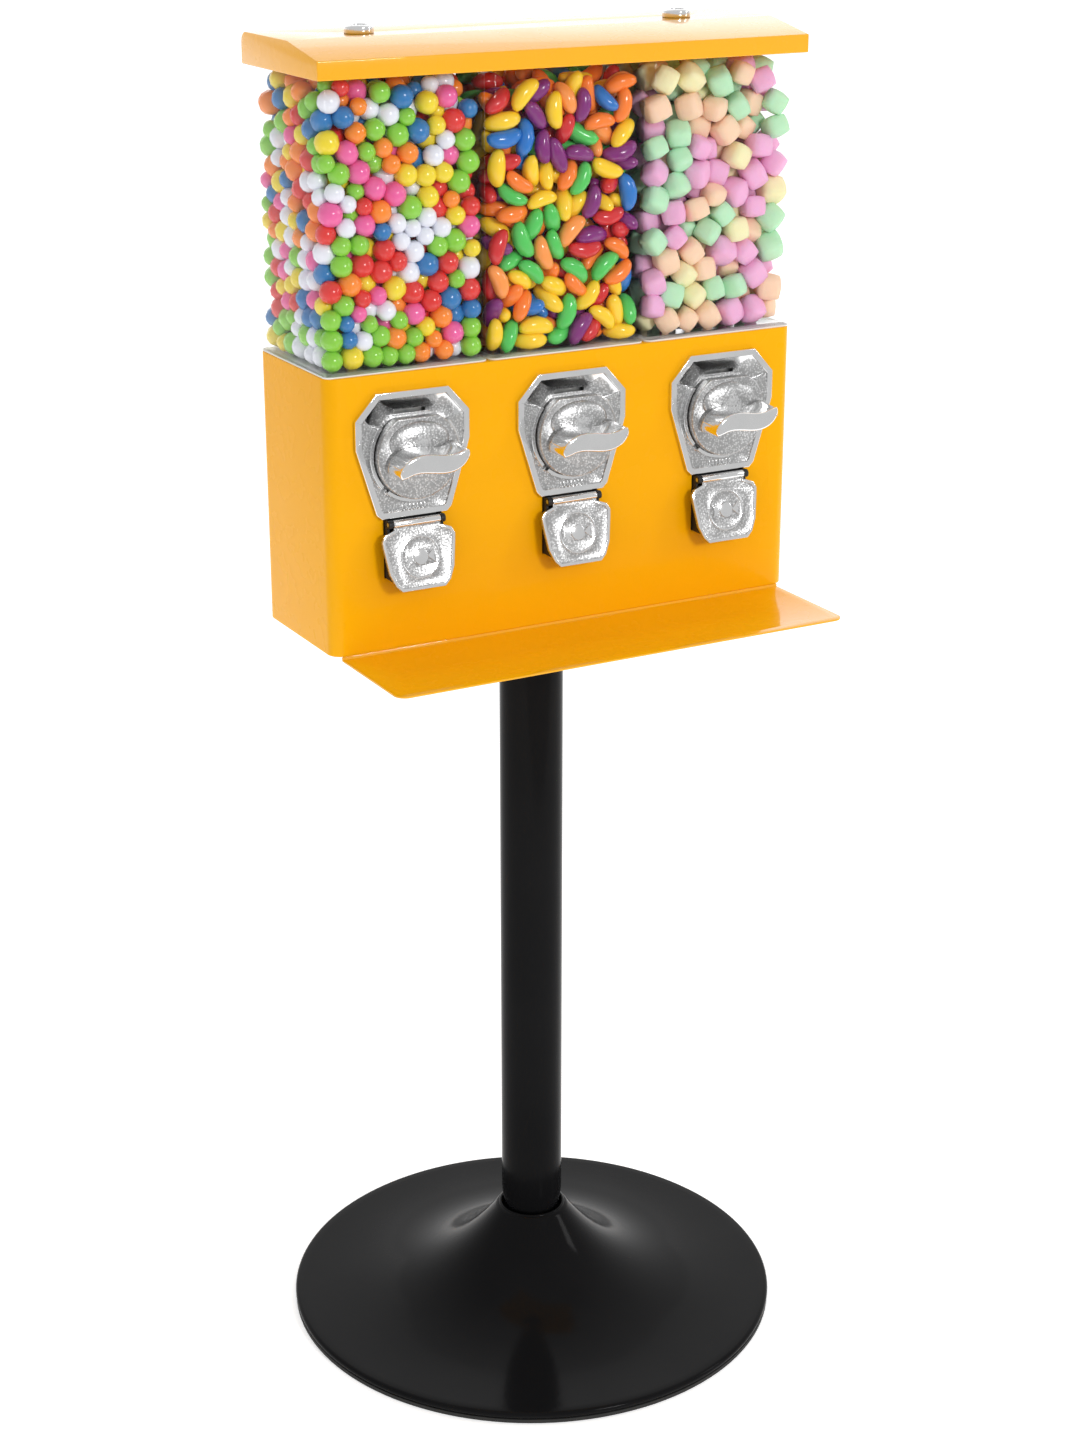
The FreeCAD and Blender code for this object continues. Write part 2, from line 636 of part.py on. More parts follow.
def tray_screws():
    solids = []
    for x, y in tray_screw_places():
        under = CABINET_BOTTOM - SHEET
        nut_top = CABINET_FLOOR_TOP + TRAY_NUT_HEIGHT
        head = rod_z(TRAY_SCREW_RADIUS * BOLT_HEAD_SHARE, under - TRAY_SCREW_HEAD, under, x, y)
        shank = rod_z(TRAY_SCREW_RADIUS, under, nut_top + BOLT_END, x, y)
        nut = hexagon_z(TRAY_SCREW_RADIUS * BOLT_HEAD_SHARE, CABINET_FLOOR_TOP, nut_top, x, y)
        solids.append(fused([head, shank, nut]))
    return Part.makeCompound(solids)


# ---------------------------------------------------------------- coin plate and knob
def facet_pocket(corners, open_y):
    """Solid between the plane y = open_y and the sloping plane through four corners (x, y, z)."""
    back = [V(*corner) for corner in corners]
    front = [V(point.x, open_y, point.z) for point in back]
    faces = [polygon(back[:3]), polygon([back[0], back[2], back[3]]), polygon(front)]
    for index in range(4):
        after = (index + 1) % 4
        faces.append(polygon([front[index], front[after], back[after], back[index]]))
    return Part.makeSolid(Part.makeShell(faces)).removeSplitter()


def coin_path(y0, y1):
    return box(-SLOT_HALF_WIDTH, SLOT_HALF_WIDTH, y0, y1, SLOT_BOTTOM, SLOT_BOTTOM + SLOT_HEIGHT)


def plate_screw_places():
    upper = (COIN_WHEEL_RADIUS + SCREW_RADIUS + 3.0, -7.0)
    lower = (PLATE_FOOT_HALF_WIDTH - 4.0, -31.0)
    places = []
    for x, up in (upper, lower):
        places.append((x, KNOB_Z + up))
        places.append((-x, KNOB_Z + up))
    return places


def coin_plate():
    flange = outline_block(0.0, PLATE_FACE, FRONT)
    flange = flange.makeFillet(PLATE_EDGE_ROUND, front_rim_edges(flange, PLATE_FACE))
    boss = outline_block(PLATE_SEAT + 0.4, FRONT, BOSS_BACK)
    floor_y = PLATE_FACE + PLATE_RECESS
    ring_back = floor_y
    ring_outer = RING_INNER + RING_WALL
    recess = outline_block(PLATE_BORDER, PLATE_FACE - 0.5, floor_y)
    ring = rod_y(ring_outer, PLATE_FACE - RING_PROUD, ring_back, 0.0, KNOB_Z)
    ring = ring.common(outline_block(PLATE_BORDER * 0.6, PLATE_FACE - RING_PROUD, ring_back))
    well = rod_y(RING_INNER, PLATE_FACE - RING_PROUD - 0.5, floor_y + 0.6, 0.0, KNOB_Z)
    casting = fused([flange.cut(recess), boss, ring]).cut(well)

    top_z = KNOB_Z + PLATE_TOP - PLATE_BORDER
    shelf_z = SLOT_BOTTOM - 0.6
    deep_y = BOSS_BACK - PLATE_SKIN
    open_y = PLATE_FACE - RING_PROUD - 1.0
    top_x = PLATE_TOP_HALF_WIDTH - POCKET_TOP_INSET
    shelf_x = SLOT_HALF_WIDTH + POCKET_SHELF_MARGIN
    side_x = PLATE_HALF_WIDTH - PLATE_BORDER
    side_z = KNOB_Z + PLATE_CHAMFER_FOOT - POCKET_SIDE_DROP
    hip_x = RING_INNER * 0.72
    hip_z = KNOB_Z + RING_INNER * 0.62
    top_pocket = facet_pocket(
        [(-top_x, floor_y, top_z), (top_x, floor_y, top_z), (shelf_x, deep_y, shelf_z), (-shelf_x, deep_y, shelf_z)],
        open_y)
    side_slope = (deep_y - floor_y) * POCKET_SIDE_SHARE
    corner_pocket = facet_pocket(
        [(top_x, floor_y, top_z), (side_x, floor_y, side_z),
         (hip_x, floor_y + side_slope, hip_z), (shelf_x, deep_y, shelf_z)],
        open_y)
    casting = cut_all(casting, [top_pocket, corner_pocket, mirrored_x(corner_pocket)])
    casting = casting.cut(coin_path(PLATE_FACE - 5.0, BOSS_BACK + 1.0))
    casting = casting.cut(rod_y(SPINDLE_RADIUS + SPINDLE_CLEARANCE, floor_y - 1.0, BOSS_BACK + 1.0, 0.0, KNOB_Z))
    for angle in (225, 315):
        notch = box(RING_INNER - 1.0, ring_outer + 1.0, open_y, floor_y, -DRIP_NOTCH, DRIP_NOTCH)
        notch = turned(notch, V(0, 0, 0), V(0, -1, 0), angle)
        notch.translate(V(0, 0, KNOB_Z))
        casting = casting.cut(notch)
    for x, z in plate_screw_places():
        casting = casting.cut(rod_y(SCREW_RADIUS + 0.02, FRONT - 1.0, BOSS_BACK + 1.0, x, z))

    ribs = []
    foot = KNOB_Z - PLATE_BOTTOM + RIB_FOOT
    for step in range(RIB_COUNT):
        x = RIB_STEP * (step - (RIB_COUNT - 1) / 2)
        ribs.append(box(
            x - RIB_HALF_WIDTH, x + RIB_HALF_WIDTH, floor_y - RIB_PROUD, floor_y + 0.1, foot, foot + RIB_LENGTH))
    return fused([casting] + ribs)


def front_rim_edges(shape, y):
    found = []
    for edge in shape.Edges:
        if all(abs(vertex.Point.y - y) < 1e-6 for vertex in edge.Vertexes):
            found.append(edge)
    return found


def handle_height(along):
    """Height of the S-shaped grip's centre line above the axis, along from -1 to 1."""
    return HANDLE_SWING * along ** 3 - (HANDLE_SWING - HANDLE_RISE) * along - HANDLE_DROP


def handle_outline(extra, y):
    count = 12
    upper = []
    lower = []
    for step in range(count + 1):
        along = -1 + 2 * step / count
        x = HANDLE_HALF_LENGTH * along
        half = HANDLE_TIP + (HANDLE_MIDDLE - HANDLE_TIP) * (1 - along ** 2) ** 2
        half = (half + extra) * (1 - abs(along) ** 12 * 0.45)
        centre = KNOB_Z + handle_height(along)
        upper.append(V(x, y, centre + half))
        lower.append(V(x, y, centre - half))
    right_tip = V(upper[-1].x + 1.0, y, (upper[-1].z + lower[-1].z) / 2)
    left_tip = V(upper[0].x - 1.0, y, (upper[0].z + lower[0].z) / 2)
    edges = [
        smooth(upper),
        Part.Arc(upper[-1], right_tip, lower[-1]).toShape(),
        smooth(lower[::-1]),
        Part.Arc(lower[0], left_tip, upper[0]).toShape(),
    ]
    return Part.Wire(edges)


def knob():
    disc = rod_y(KNOB_RADIUS, KNOB_FACE_Y, KNOB_BACK_Y, 0.0, KNOB_Z)
    above_flat = box(-KNOB_RADIUS, KNOB_RADIUS, KNOB_FACE_Y, KNOB_BACK_Y, KNOB_Z + KNOB_FLAT, KNOB_Z + KNOB_RADIUS)
    disc = disc.cut(above_flat)
    disc = disc.makeFillet(1.0, front_rim_edges(disc, KNOB_FACE_Y))
    handle = Part.makeLoft(
        [handle_outline(HANDLE_ROOT, KNOB_FACE_Y + 1.0), handle_outline(0.0, KNOB_FACE_Y - HANDLE_REACH)], True)
    handle = handle.makeFillet(1.6, front_rim_edges(handle, KNOB_FACE_Y - HANDLE_REACH))
    grip = fused([disc, handle])
    socket = rod_y(SPINDLE_RADIUS, KNOB_BACK_Y - KNOB_SOCKET, KNOB_BACK_Y, 0.0, KNOB_Z)
    return grip.cut(socket)


def spindle():
    end = GEAR_BACK + SPINDLE_END
    shaft = rod_y(SPINDLE_RADIUS, KNOB_BACK_Y - KNOB_SOCKET, end, 0.0, KNOB_Z)
    flat = box(-SPINDLE_RADIUS, SPINDLE_RADIUS, GEAR_FRONT, end, KNOB_Z + SPINDLE_FLAT, KNOB_Z + SPINDLE_RADIUS)
    return shaft.cut(flat)


def spindle_bore(y0, y1):
    bore = rod_y(SPINDLE_RADIUS, y0, y1, 0.0, KNOB_Z)
    flat = box(-SPINDLE_RADIUS, SPINDLE_RADIUS, GEAR_FRONT, y1, KNOB_Z + SPINDLE_FLAT, KNOB_Z + SPINDLE_RADIUS)
    return bore.cut(flat)


# ---------------------------------------------------------------- coin mechanism
def coin_wheel():
    outline = []
    step_angle = 360.0 / RATCHET_TEETH
    for tooth in range(RATCHET_TEETH):
        base = 90 + step_angle * tooth
        for radius, angle in ((COIN_WHEEL_RADIUS, base), (COIN_WHEEL_RADIUS - RATCHET_DEPTH, base + 2.0)):
            outline.append((radius * math.cos(math.radians(angle)), KNOB_Z + radius * math.sin(math.radians(angle))))
    disc = slab_y(outline, COIN_WHEEL_FRONT, COIN_WHEEL_BACK)
    coin_centre = KNOB_Z + COIN_WHEEL_RADIUS - COIN_RADIUS + 4.0
    seat = rod_y(COIN_RADIUS + 0.4, COIN_WHEEL_FRONT, COIN_WHEEL_BACK, 0.0, coin_centre)
    mouth = box(-COIN_RADIUS - 0.4, COIN_RADIUS + 0.4, COIN_WHEEL_FRONT, COIN_WHEEL_BACK, coin_centre, coin_centre + 20.0)
    bore = rod_y(SPINDLE_RADIUS, COIN_WHEEL_FRONT, COIN_WHEEL_BACK, 0.0, KNOB_Z)
    boss = rod_y(SPINDLE_RADIUS + 2.5, COIN_WHEEL_FRONT, COIN_WHEEL_BACK, 0.0, KNOB_Z)
    return fused([cut_all(disc, [seat, mouth]), boss]).cut(bore)


def back_plate():
    inset = PLATE_SEAT + 1.2
    cup = outline_block(inset, BOSS_BACK, BACK_PLATE_BACK)
    hollow = outline_block(inset + BACK_WALL, BOSS_BACK, BACK_PLATE_FRONT)
    lugs = []
    for x, z in plate_screw_places():
        lugs.append(rod_y(SCREW_RADIUS + LUG_MARGIN, BOSS_BACK, BACK_PLATE_FRONT, x, z))
    cup = fused([cup.cut(hollow)] + lugs)
    bore = rod_y(SPINDLE_RADIUS + SPINDLE_CLEARANCE, BACK_PLATE_FRONT - 1.0, BACK_PLATE_BACK + 1.0, 0.0, KNOB_Z)
    low = KNOB_Z - PLATE_BOTTOM
    coin_drop = box(
        -COIN_RADIUS - COIN_DROP_MARGIN, COIN_RADIUS + COIN_DROP_MARGIN,
        BOSS_BACK, BACK_PLATE_BACK + 1.0, low, low + COIN_DROP_HEIGHT)
    pin = rod_y(PAWL_PIN_RADIUS, BOSS_BACK + 0.1, BACK_PLATE_FRONT, PAWL_PIVOT_X, KNOB_Z + PAWL_PIVOT_UP)
    cup = cut_all(cup, [bore, coin_drop]).fuse(pin)
    for x, z in plate_screw_places():
        cup = cup.cut(rod_y(SCREW_RADIUS + 0.02, BOSS_BACK - 1.0, BACK_PLATE_BACK + 1.0, x, z))
    return cup


def pawl():
    y0 = COIN_WHEEL_FRONT
    y1 = COIN_WHEEL_BACK
    pivot_z = KNOB_Z + PAWL_PIVOT_UP
    tip_x = -COIN_WHEEL_RADIUS - PAWL_LIFT
    eye = rod_y(PAWL_EYE_RADIUS, y0, y1, PAWL_PIVOT_X, pivot_z)
    arm_outline = [
        (PAWL_PIVOT_X - 1.6, pivot_z),
        (PAWL_PIVOT_X + 1.2, pivot_z),
        (tip_x, KNOB_Z + 2.5),
        (tip_x, KNOB_Z),
        (tip_x - 2.2, KNOB_Z + 1.0),
    ]
    arm = slab_y(arm_outline, y0, y1)
    bore = rod_y(PAWL_PIN_RADIUS + 0.05, y0, y1, PAWL_PIVOT_X, pivot_z)
    return fused([eye, arm]).cut(bore)


def mech_screws():
    solids = []
    for x, z in plate_screw_places():
        shank = rod_y(SCREW_RADIUS, FRONT - 1.0, BACK_PLATE_BACK, x, z)
        head = rod_y(SCREW_RADIUS * 1.8, BACK_PLATE_BACK, BACK_PLATE_BACK + 1.3, x, z)
        solids.append(shank.fuse(head))
    return solids


# ---------------------------------------------------------------- metering drive
def drive_gear():
    outline = []
    for tooth in range(GEAR_TEETH):
        middle = math.radians(90 + 360.0 * tooth / GEAR_TEETH)
        root_half = TOOTH_HALF + FLANK_SLOPE * TOOTH_DEDENDUM * 0.35
        tip_half = TOOTH_HALF - FLANK_SLOPE * TOOTH_ADDENDUM * 1.15
        for radius, side in (
                (GEAR_ROOT_RADIUS, -root_half), (GEAR_PITCH_RADIUS, -TOOTH_HALF), (GEAR_TIP_RADIUS, -tip_half),
                (GEAR_TIP_RADIUS, tip_half), (GEAR_PITCH_RADIUS, TOOTH_HALF), (GEAR_ROOT_RADIUS, root_half)):
            x = radius * math.cos(middle) - side * math.sin(middle)
            z = radius * math.sin(middle) + side * math.cos(middle)
            outline.append((x, KNOB_Z + z))
    gear = slab_y(outline, GEAR_FRONT, GEAR_BACK)
    return gear.cut(spindle_bore(GEAR_FRONT, GEAR_BACK))


def crown_tooth():
    root_half = TOOTH_HALF + FLANK_SLOPE * TOOTH_DEDENDUM
    tip_half = TOOTH_HALF - FLANK_SLOPE * TOOTH_ADDENDUM
    outline = [
        (-tip_half, CROWN_TIP_Z), (tip_half, CROWN_TIP_Z),
        (root_half, CROWN_ROOT_Z), (root_half, CROWN_ROOT_Z + 0.5),
        (-root_half, CROWN_ROOT_Z + 0.5), (-root_half, CROWN_ROOT_Z),
    ]
    return slab_y(outline, -CROWN_OUTER, -CROWN_INNER)


def candy_wheel():
    disc = rod_z(WHEEL_RADIUS, CROWN_ROOT_Z, WHEEL_TOP)
    sleeve = rod_z(POCKET_SLEEVE_RADIUS, FLOOR_TOP + 0.1, CROWN_ROOT_Z)
    tooth = crown_tooth()
    teeth = []
    for number in range(CROWN_TEETH):
        teeth.append(turned(tooth, V(0, 0, 0), V(0, 0, 1), 360.0 * (number + 0.5) / CROWN_TEETH))
    wheel = fused([disc, sleeve] + teeth)
    tools = [rod_z(AXLE_RADIUS + AXLE_CLEARANCE, FLOOR_TOP, WHEEL_TOP)]
    for number in range(POCKET_COUNT):
        angle = math.radians(90 + 360.0 * number / POCKET_COUNT)
        x = POCKET_CIRCLE * math.cos(angle)
        y = POCKET_CIRCLE * math.sin(angle)
        tools.append(rod_z(POCKET_RADIUS, FLOOR_TOP, WHEEL_TOP, x, y))
    return cut_all(wheel, tools)


def wheel_housing():
    flange = rounded_box(
        -CANISTER_HALF_WIDTH, CANISTER_HALF_WIDTH, -CANISTER_HALF_DEPTH, CANISTER_HALF_DEPTH,
        CABINET_TOP, FLANGE_TOP, CANISTER_CORNER)
    drum = rod_z(HOUSING_OUTER, FLOOR_BOTTOM, CABINET_TOP)
    hollow = rod_z(HOUSING_INNER, FLOOR_TOP, FLANGE_TOP)
    post = rod_z(AXLE_RADIUS, FLOOR_TOP, POST_TOP)
    gear_half = math.sqrt(GEAR_TIP_RADIUS ** 2 - (FLOOR_BOTTOM - KNOB_Z) ** 2) + 1.2
    gear_slot = box(-gear_half, gear_half, GEAR_FRONT - 1.0, GEAR_BACK + 1.0, FLOOR_BOTTOM - 1.0, CROWN_TIP_Z + 3.5)
    drop = rod_z(POCKET_RADIUS + DROP_MARGIN, FLOOR_BOTTOM - 1.0, FLOOR_TOP, 0.0, POCKET_CIRCLE)
    pan = fused([flange, drum]).cut(hollow)
    return cut_all(pan, [gear_slot, drop]).fuse(post)


def guard():
    """Plate over the drop hole that wipes the pocket level."""
    half = POCKET_RADIUS + GUARD_MARGIN
    front = min(POCKET_CIRCLE - half, LOCK_SETBACK - ROD_RADIUS - 0.5)
    plate = box(-half, half, front, HOUSING_OUTER, GUARD_BOTTOM, GUARD_TOP)
    return plate.common(rod_z(HOUSING_INNER, GUARD_BOTTOM, GUARD_TOP))


# ---------------------------------------------------------------- chute and flap
def flap_point(along, out):
    """Point on the hanging flap: along it from the hinge, and out from its middle plane."""
    tilt = math.radians(FLAP_TILT)
    y = HINGE_Y - along * math.sin(tilt) - out * math.cos(tilt)
    z = HINGE_Z - along * math.cos(tilt) + out * math.sin(tilt)
    return y, z


def chute():
    behind = -FLAP_THICKNESS / 2 - REST_GAP
    mouth_top = flap_point(EYE_RADIUS * 0.2, behind - 0.5)
    mouth_bottom = flap_point((HINGE_Z - CHUTE_BOTTOM) / math.cos(math.radians(FLAP_TILT)), behind)
    shaft_front = POCKET_CIRCLE - POCKET_RADIUS - DROP_MARGIN - CHUTE_WALL
    shaft_back = POCKET_CIRCLE + POCKET_RADIUS + DROP_MARGIN + CHUTE_WALL
    shaft_top = FLOOR_BOTTOM
    ceiling = min(KNOB_Z - PLATE_BOTTOM + PLATE_SEAT, HINGE_Z + 6.0)
    knee_y = GEAR_FRONT + 3.0
    knee_z = KNOB_Z - CHUTE_KNEE_BELOW_KNOB
    bend_z = KNOB_Z - CHUTE_BEND_BELOW_KNOB
    front_z = KNOB_Z - PLATE_BOTTOM - 0.3
    outer = [
        mouth_top,
        (FRONT, front_z),
        (BOSS_BACK, ceiling),
        (knee_y, ceiling),
        (shaft_front, knee_z),
        (shaft_front, shaft_top),
        (shaft_back, shaft_top),
        (shaft_back, bend_z),
        (GEAR_FRONT, CHUTE_BOTTOM),
        mouth_bottom,
    ]
    w = CHUTE_WALL
    inner = [
        (mouth_top[0] - 1.0, mouth_top[1] - w),
        (FRONT, front_z - w),
        (BOSS_BACK, ceiling - w),
        (knee_y + 0.4 * w, ceiling - w),
        (shaft_front + w, knee_z - 0.6 * w),
        (shaft_front + w, shaft_top + 1.0),
        (shaft_back - w, shaft_top + 1.0),
        (shaft_back - w, bend_z + 0.4 * w),
        (GEAR_FRONT - 0.3 * w, CHUTE_BOTTOM + w),
        (mouth_bottom[0] - 3.0, CHUTE_BOTTOM + w * 0.8),
    ]
    body = slab_x(outer, -CHUTE_HALF_WIDTH, CHUTE_HALF_WIDTH)
    channel = slab_x(inner, -CHUTE_HALF_WIDTH + w, CHUTE_HALF_WIDTH - w)
    body = body.cut(channel)
    ears = []
    for side in (-1, 1):
        inside = side * (FLAP_BARREL_HALF_LENGTH + HINGE_END_GAP)
        outside = side * CHUTE_HALF_WIDTH
        low, high = min(inside, outside), max(inside, outside)
        ears.append(rod_x(EYE_RADIUS, low, high, HINGE_Y, HINGE_Z))
        bridge = [
            (HINGE_Y, HINGE_Z - EYE_RADIUS * 0.2), (HINGE_Y, HINGE_Z + EYE_RADIUS * 0.9),
            (FRONT, HINGE_Z + EYE_RADIUS * 0.9), (FRONT, HINGE_Z - EYE_RADIUS * 0.2),
        ]
        ears.append(slab_x(bridge, low, high))
    room_end = FLAP_BARREL_HALF_LENGTH + HINGE_END_GAP
    barrel_room = rod_x(BARREL_RADIUS + HINGE_END_GAP, -room_end, room_end, HINGE_Y, HINGE_Z)
    body = fused([body] + ears).cut(barrel_room)
    return body.cut(rod_x(PIN_RADIUS + 0.01, -CHUTE_HALF_WIDTH - 1.0, CHUTE_HALF_WIDTH + 1.0, HINGE_Y, HINGE_Z))


def flap():
    """Flap leaf, drawn hanging straight down from the hinge and then tilted on to the mouth."""
    half = FLAP_THICKNESS / 2
    right = [
        (FLAP_BARREL_HALF_LENGTH, 0.0),
        (FLAP_BARREL_HALF_LENGTH, EYE_RADIUS + 1.0),
        (FLAP_SHOULDER_HALF_WIDTH - 2.6, EYE_RADIUS + 4.0),
        (FLAP_SHOULDER_HALF_WIDTH, EYE_RADIUS + 8.6),
        (FLAP_SHOULDER_HALF_WIDTH - 0.6, EYE_RADIUS + 14.0),
        (FLAP_HIP_HALF_WIDTH, FLAP_LENGTH - FLAP_HIP_UP),
        (FLAP_FOOT_HALF_WIDTH + FLAP_CORNER, FLAP_LENGTH - FLAP_CORNER),
        (FLAP_FOOT_HALF_WIDTH, FLAP_LENGTH),
    ]
    points = [V(x, HINGE_Y - half, HINGE_Z - down) for x, down in right]
    points += [V(-point.x, point.y, point.z) for point in points[::-1]]
    face = polygon(points)
    leaf = face.extrude(V(0, FLAP_THICKNESS, 0))
    rim = face.cut(face.makeOffset2D(-FLAP_RIM_WIDTH, 2)).extrude(V(0, -FLAP_RIM, 0))
    clear_barrel = box(-40, 40, HINGE_Y - 9, HINGE_Y + 9, HINGE_Z - EYE_RADIUS - 1.2, HINGE_Z + 9)
    rim = rim.cut(clear_barrel)
    emblem_z = HINGE_Z - FLAP_LENGTH * 0.52
    front = HINGE_Y - half
    ring = rod_y(FLAP_EMBLEM_RADIUS, front - 0.5, front, 0.0, emblem_z)
    ring = ring.cut(rod_y(FLAP_EMBLEM_RADIUS - FLAP_LINE, front - 0.5, front, 0.0, emblem_z))
    sweet = rod_y(FLAP_EMBLEM_RADIUS * 0.36, front - 0.9, front, 0.0, emblem_z)
    twist = FLAP_EMBLEM_RADIUS * 0.34
    wings = []
    for side in (-1, 1):
        start = side * twist
        end = side * 2.15 * twist
        wing = [(start, emblem_z), (end, emblem_z + twist), (end * 0.92, emblem_z), (end, emblem_z - twist)]
        wings.append(slab_y(wing, front - 0.7, front))
    barrel = rod_x(BARREL_RADIUS, -FLAP_BARREL_HALF_LENGTH, FLAP_BARREL_HALF_LENGTH, HINGE_Y, HINGE_Z)
    whole = fused([leaf, rim, barrel, ring, sweet] + wings)
    bore = rod_x(PIN_RADIUS + PIN_CLEARANCE, -FLAP_BARREL_HALF_LENGTH, FLAP_BARREL_HALF_LENGTH, HINGE_Y, HINGE_Z)
    return turned(whole.cut(bore), V(0, HINGE_Y, HINGE_Z), V(1, 0, 0), -FLAP_TILT)


def flap_pin():
    return rod_x(PIN_RADIUS, -CHUTE_HALF_WIDTH, CHUTE_HALF_WIDTH, HINGE_Y, HINGE_Z)


# ---------------------------------------------------------------- hoppers and lid
def canister():
    x = CANISTER_HALF_WIDTH
    y = CANISTER_HALF_DEPTH
    w = CANISTER_WALL
    outer = rounded_box(-x, x, -y, y, FLANGE_TOP, CANISTER_RIM, CANISTER_CORNER)
    inner = rounded_box(-x + w, x - w, -y + w, y - w, CANISTER_FLOOR_TOP, CANISTER_RIM, CANISTER_CORNER - w)
    return cut_all(outer, [inner, rod_z(HOUSING_INNER, FLANGE_TOP, CANISTER_FLOOR_TOP)])


def fill(has_rod):
    x = CANISTER_HALF_WIDTH - CANISTER_WALL - FILL_GAP
    y = CANISTER_HALF_DEPTH - CANISTER_WALL - FILL_GAP
    heap = rounded_box(-x, x, -y, y, CANISTER_FLOOR_TOP + FILL_GAP, FILL_TOP, CANISTER_CORNER - CANISTER_WALL)
    throat = rod_z(HOUSING_INNER - FILL_GAP, POST_TOP + FILL_GAP, CANISTER_FLOOR_TOP + FILL_GAP)
    candy = fused([heap, throat])
    if has_rod:
        candy = candy.cut(rod_z(ROD_RADIUS + FILL_GAP, POST_TOP, FILL_TOP, 0.0, LOCK_SETBACK))
    return candy


def hopper_rod():
    """Rod that stands on the pocket guard, with a spigot that the lock's plug sits on."""
    rod = rod_z(ROD_RADIUS, GUARD_TOP, ROD_TOP, 0.0, LOCK_SETBACK)
    spigot = rod_z(SPIGOT_RADIUS, ROD_TOP, SPIGOT_TOP, 0.0, LOCK_SETBACK)
    return rod.fuse(spigot)


def lid_outline(inset, bottom):
    front = LID_FRONT + inset
    back = LID_BACK - inset
    lip_top = LID_BOTTOM + LID_LIP - inset * 0.85
    top = LID_TOP - inset
    crease = LID_FRONT + LID_SLOPE + inset * 0.15
    cut_off = max(LID_BACK_ROUND - inset, 1.0)
    arc_middle = cut_off * (1 - math.sqrt(0.5))
    points = [(front, bottom), (front, lip_top), (crease, top), (back - cut_off, top)]
    points.append((back - arc_middle, top - arc_middle))
    points += [(back, top - cut_off), (back, bottom)]
    return points


def lid_block(inset, bottom):
    points = [V(-LID_HALF_WIDTH + inset, y, z) for y, z in lid_outline(inset, bottom)]
    edges = [line(points[0], points[1]), line(points[1], points[2]), line(points[2], points[3])]
    edges.append(Part.Arc(points[3], points[4], points[5]).toShape())
    edges += [line(points[5], points[6]), line(points[6], points[0])]
    return Part.Face(Part.Wire(edges)).extrude(V(2 * (LID_HALF_WIDTH - inset), 0, 0))


def lid():
    shell = lid_block(0.0, LID_BOTTOM).cut(lid_block(LID_SHEET, LID_BOTTOM))
    holes = []
    for head in LOCKED_HEADS:
        holes.append(rod_z(LOCK_SLEEVE + 0.1, LID_TOP - 5.0, LID_TOP + 1.0, HEAD_X[head], LOCK_SETBACK))
    return cut_all(shell, holes)


def lock_body():
    cap_top = LID_TOP + LOCK_HEIGHT
    under = LID_TOP - LID_SHEET
    cap = rod_z(LOCK_RADIUS, LID_TOP, cap_top)
    cap = cap.makeChamfer(LOCK_CHAMFER, [edge for edge in cap.Edges if edge.BoundBox.ZMin > LID_TOP + 1.0])
    sleeve = rod_z(LOCK_SLEEVE, PLUG_BOTTOM, LID_TOP)
    nut = hexagon_z(LOCK_SLEEVE + LOCK_NUT_MARGIN, under - LOCK_NUT_HEIGHT, under)
    bore = rod_z(PLUG_RADIUS + PLUG_CLEARANCE, PLUG_BOTTOM - 1.0, cap_top + 1.0)
    return set_back(fused([cap, sleeve, nut]).cut(bore))


def lock_plug():
    """Turned plug with a round key slot in its face and a socket for the rod's spigot below."""
    top = LID_TOP + LOCK_HEIGHT - 0.6
    slot_bottom = top - KEYWAY_DEPTH
    ring_outer = PLUG_RADIUS - KEYWAY_RING
    plug = rod_z(PLUG_RADIUS, PLUG_BOTTOM, top)
    socket = rod_z(SPIGOT_RADIUS + SPIGOT_CLEARANCE, PLUG_BOTTOM, SPIGOT_TOP + 1.0)
    ring = rod_z(ring_outer, slot_bottom, top).cut(rod_z(ring_outer - KEYWAY_WIDTH, slot_bottom, top))
    notch = box(-KEYWAY_WIDTH / 2, KEYWAY_WIDTH / 2, 0.0, PLUG_RADIUS - 1.0, slot_bottom, top)
    return set_back(cut_all(plug, [socket, ring, notch]))


def set_back(shape):
    copy = shape.copy()
    copy.translate(V(0, LOCK_SETBACK, 0))
    return copy


# ---------------------------------------------------------------- write every piece
def placed(shape, head):
    copy = shape.copy()
    copy.translate(V(HEAD_X[head], 0, 0))
    return copy


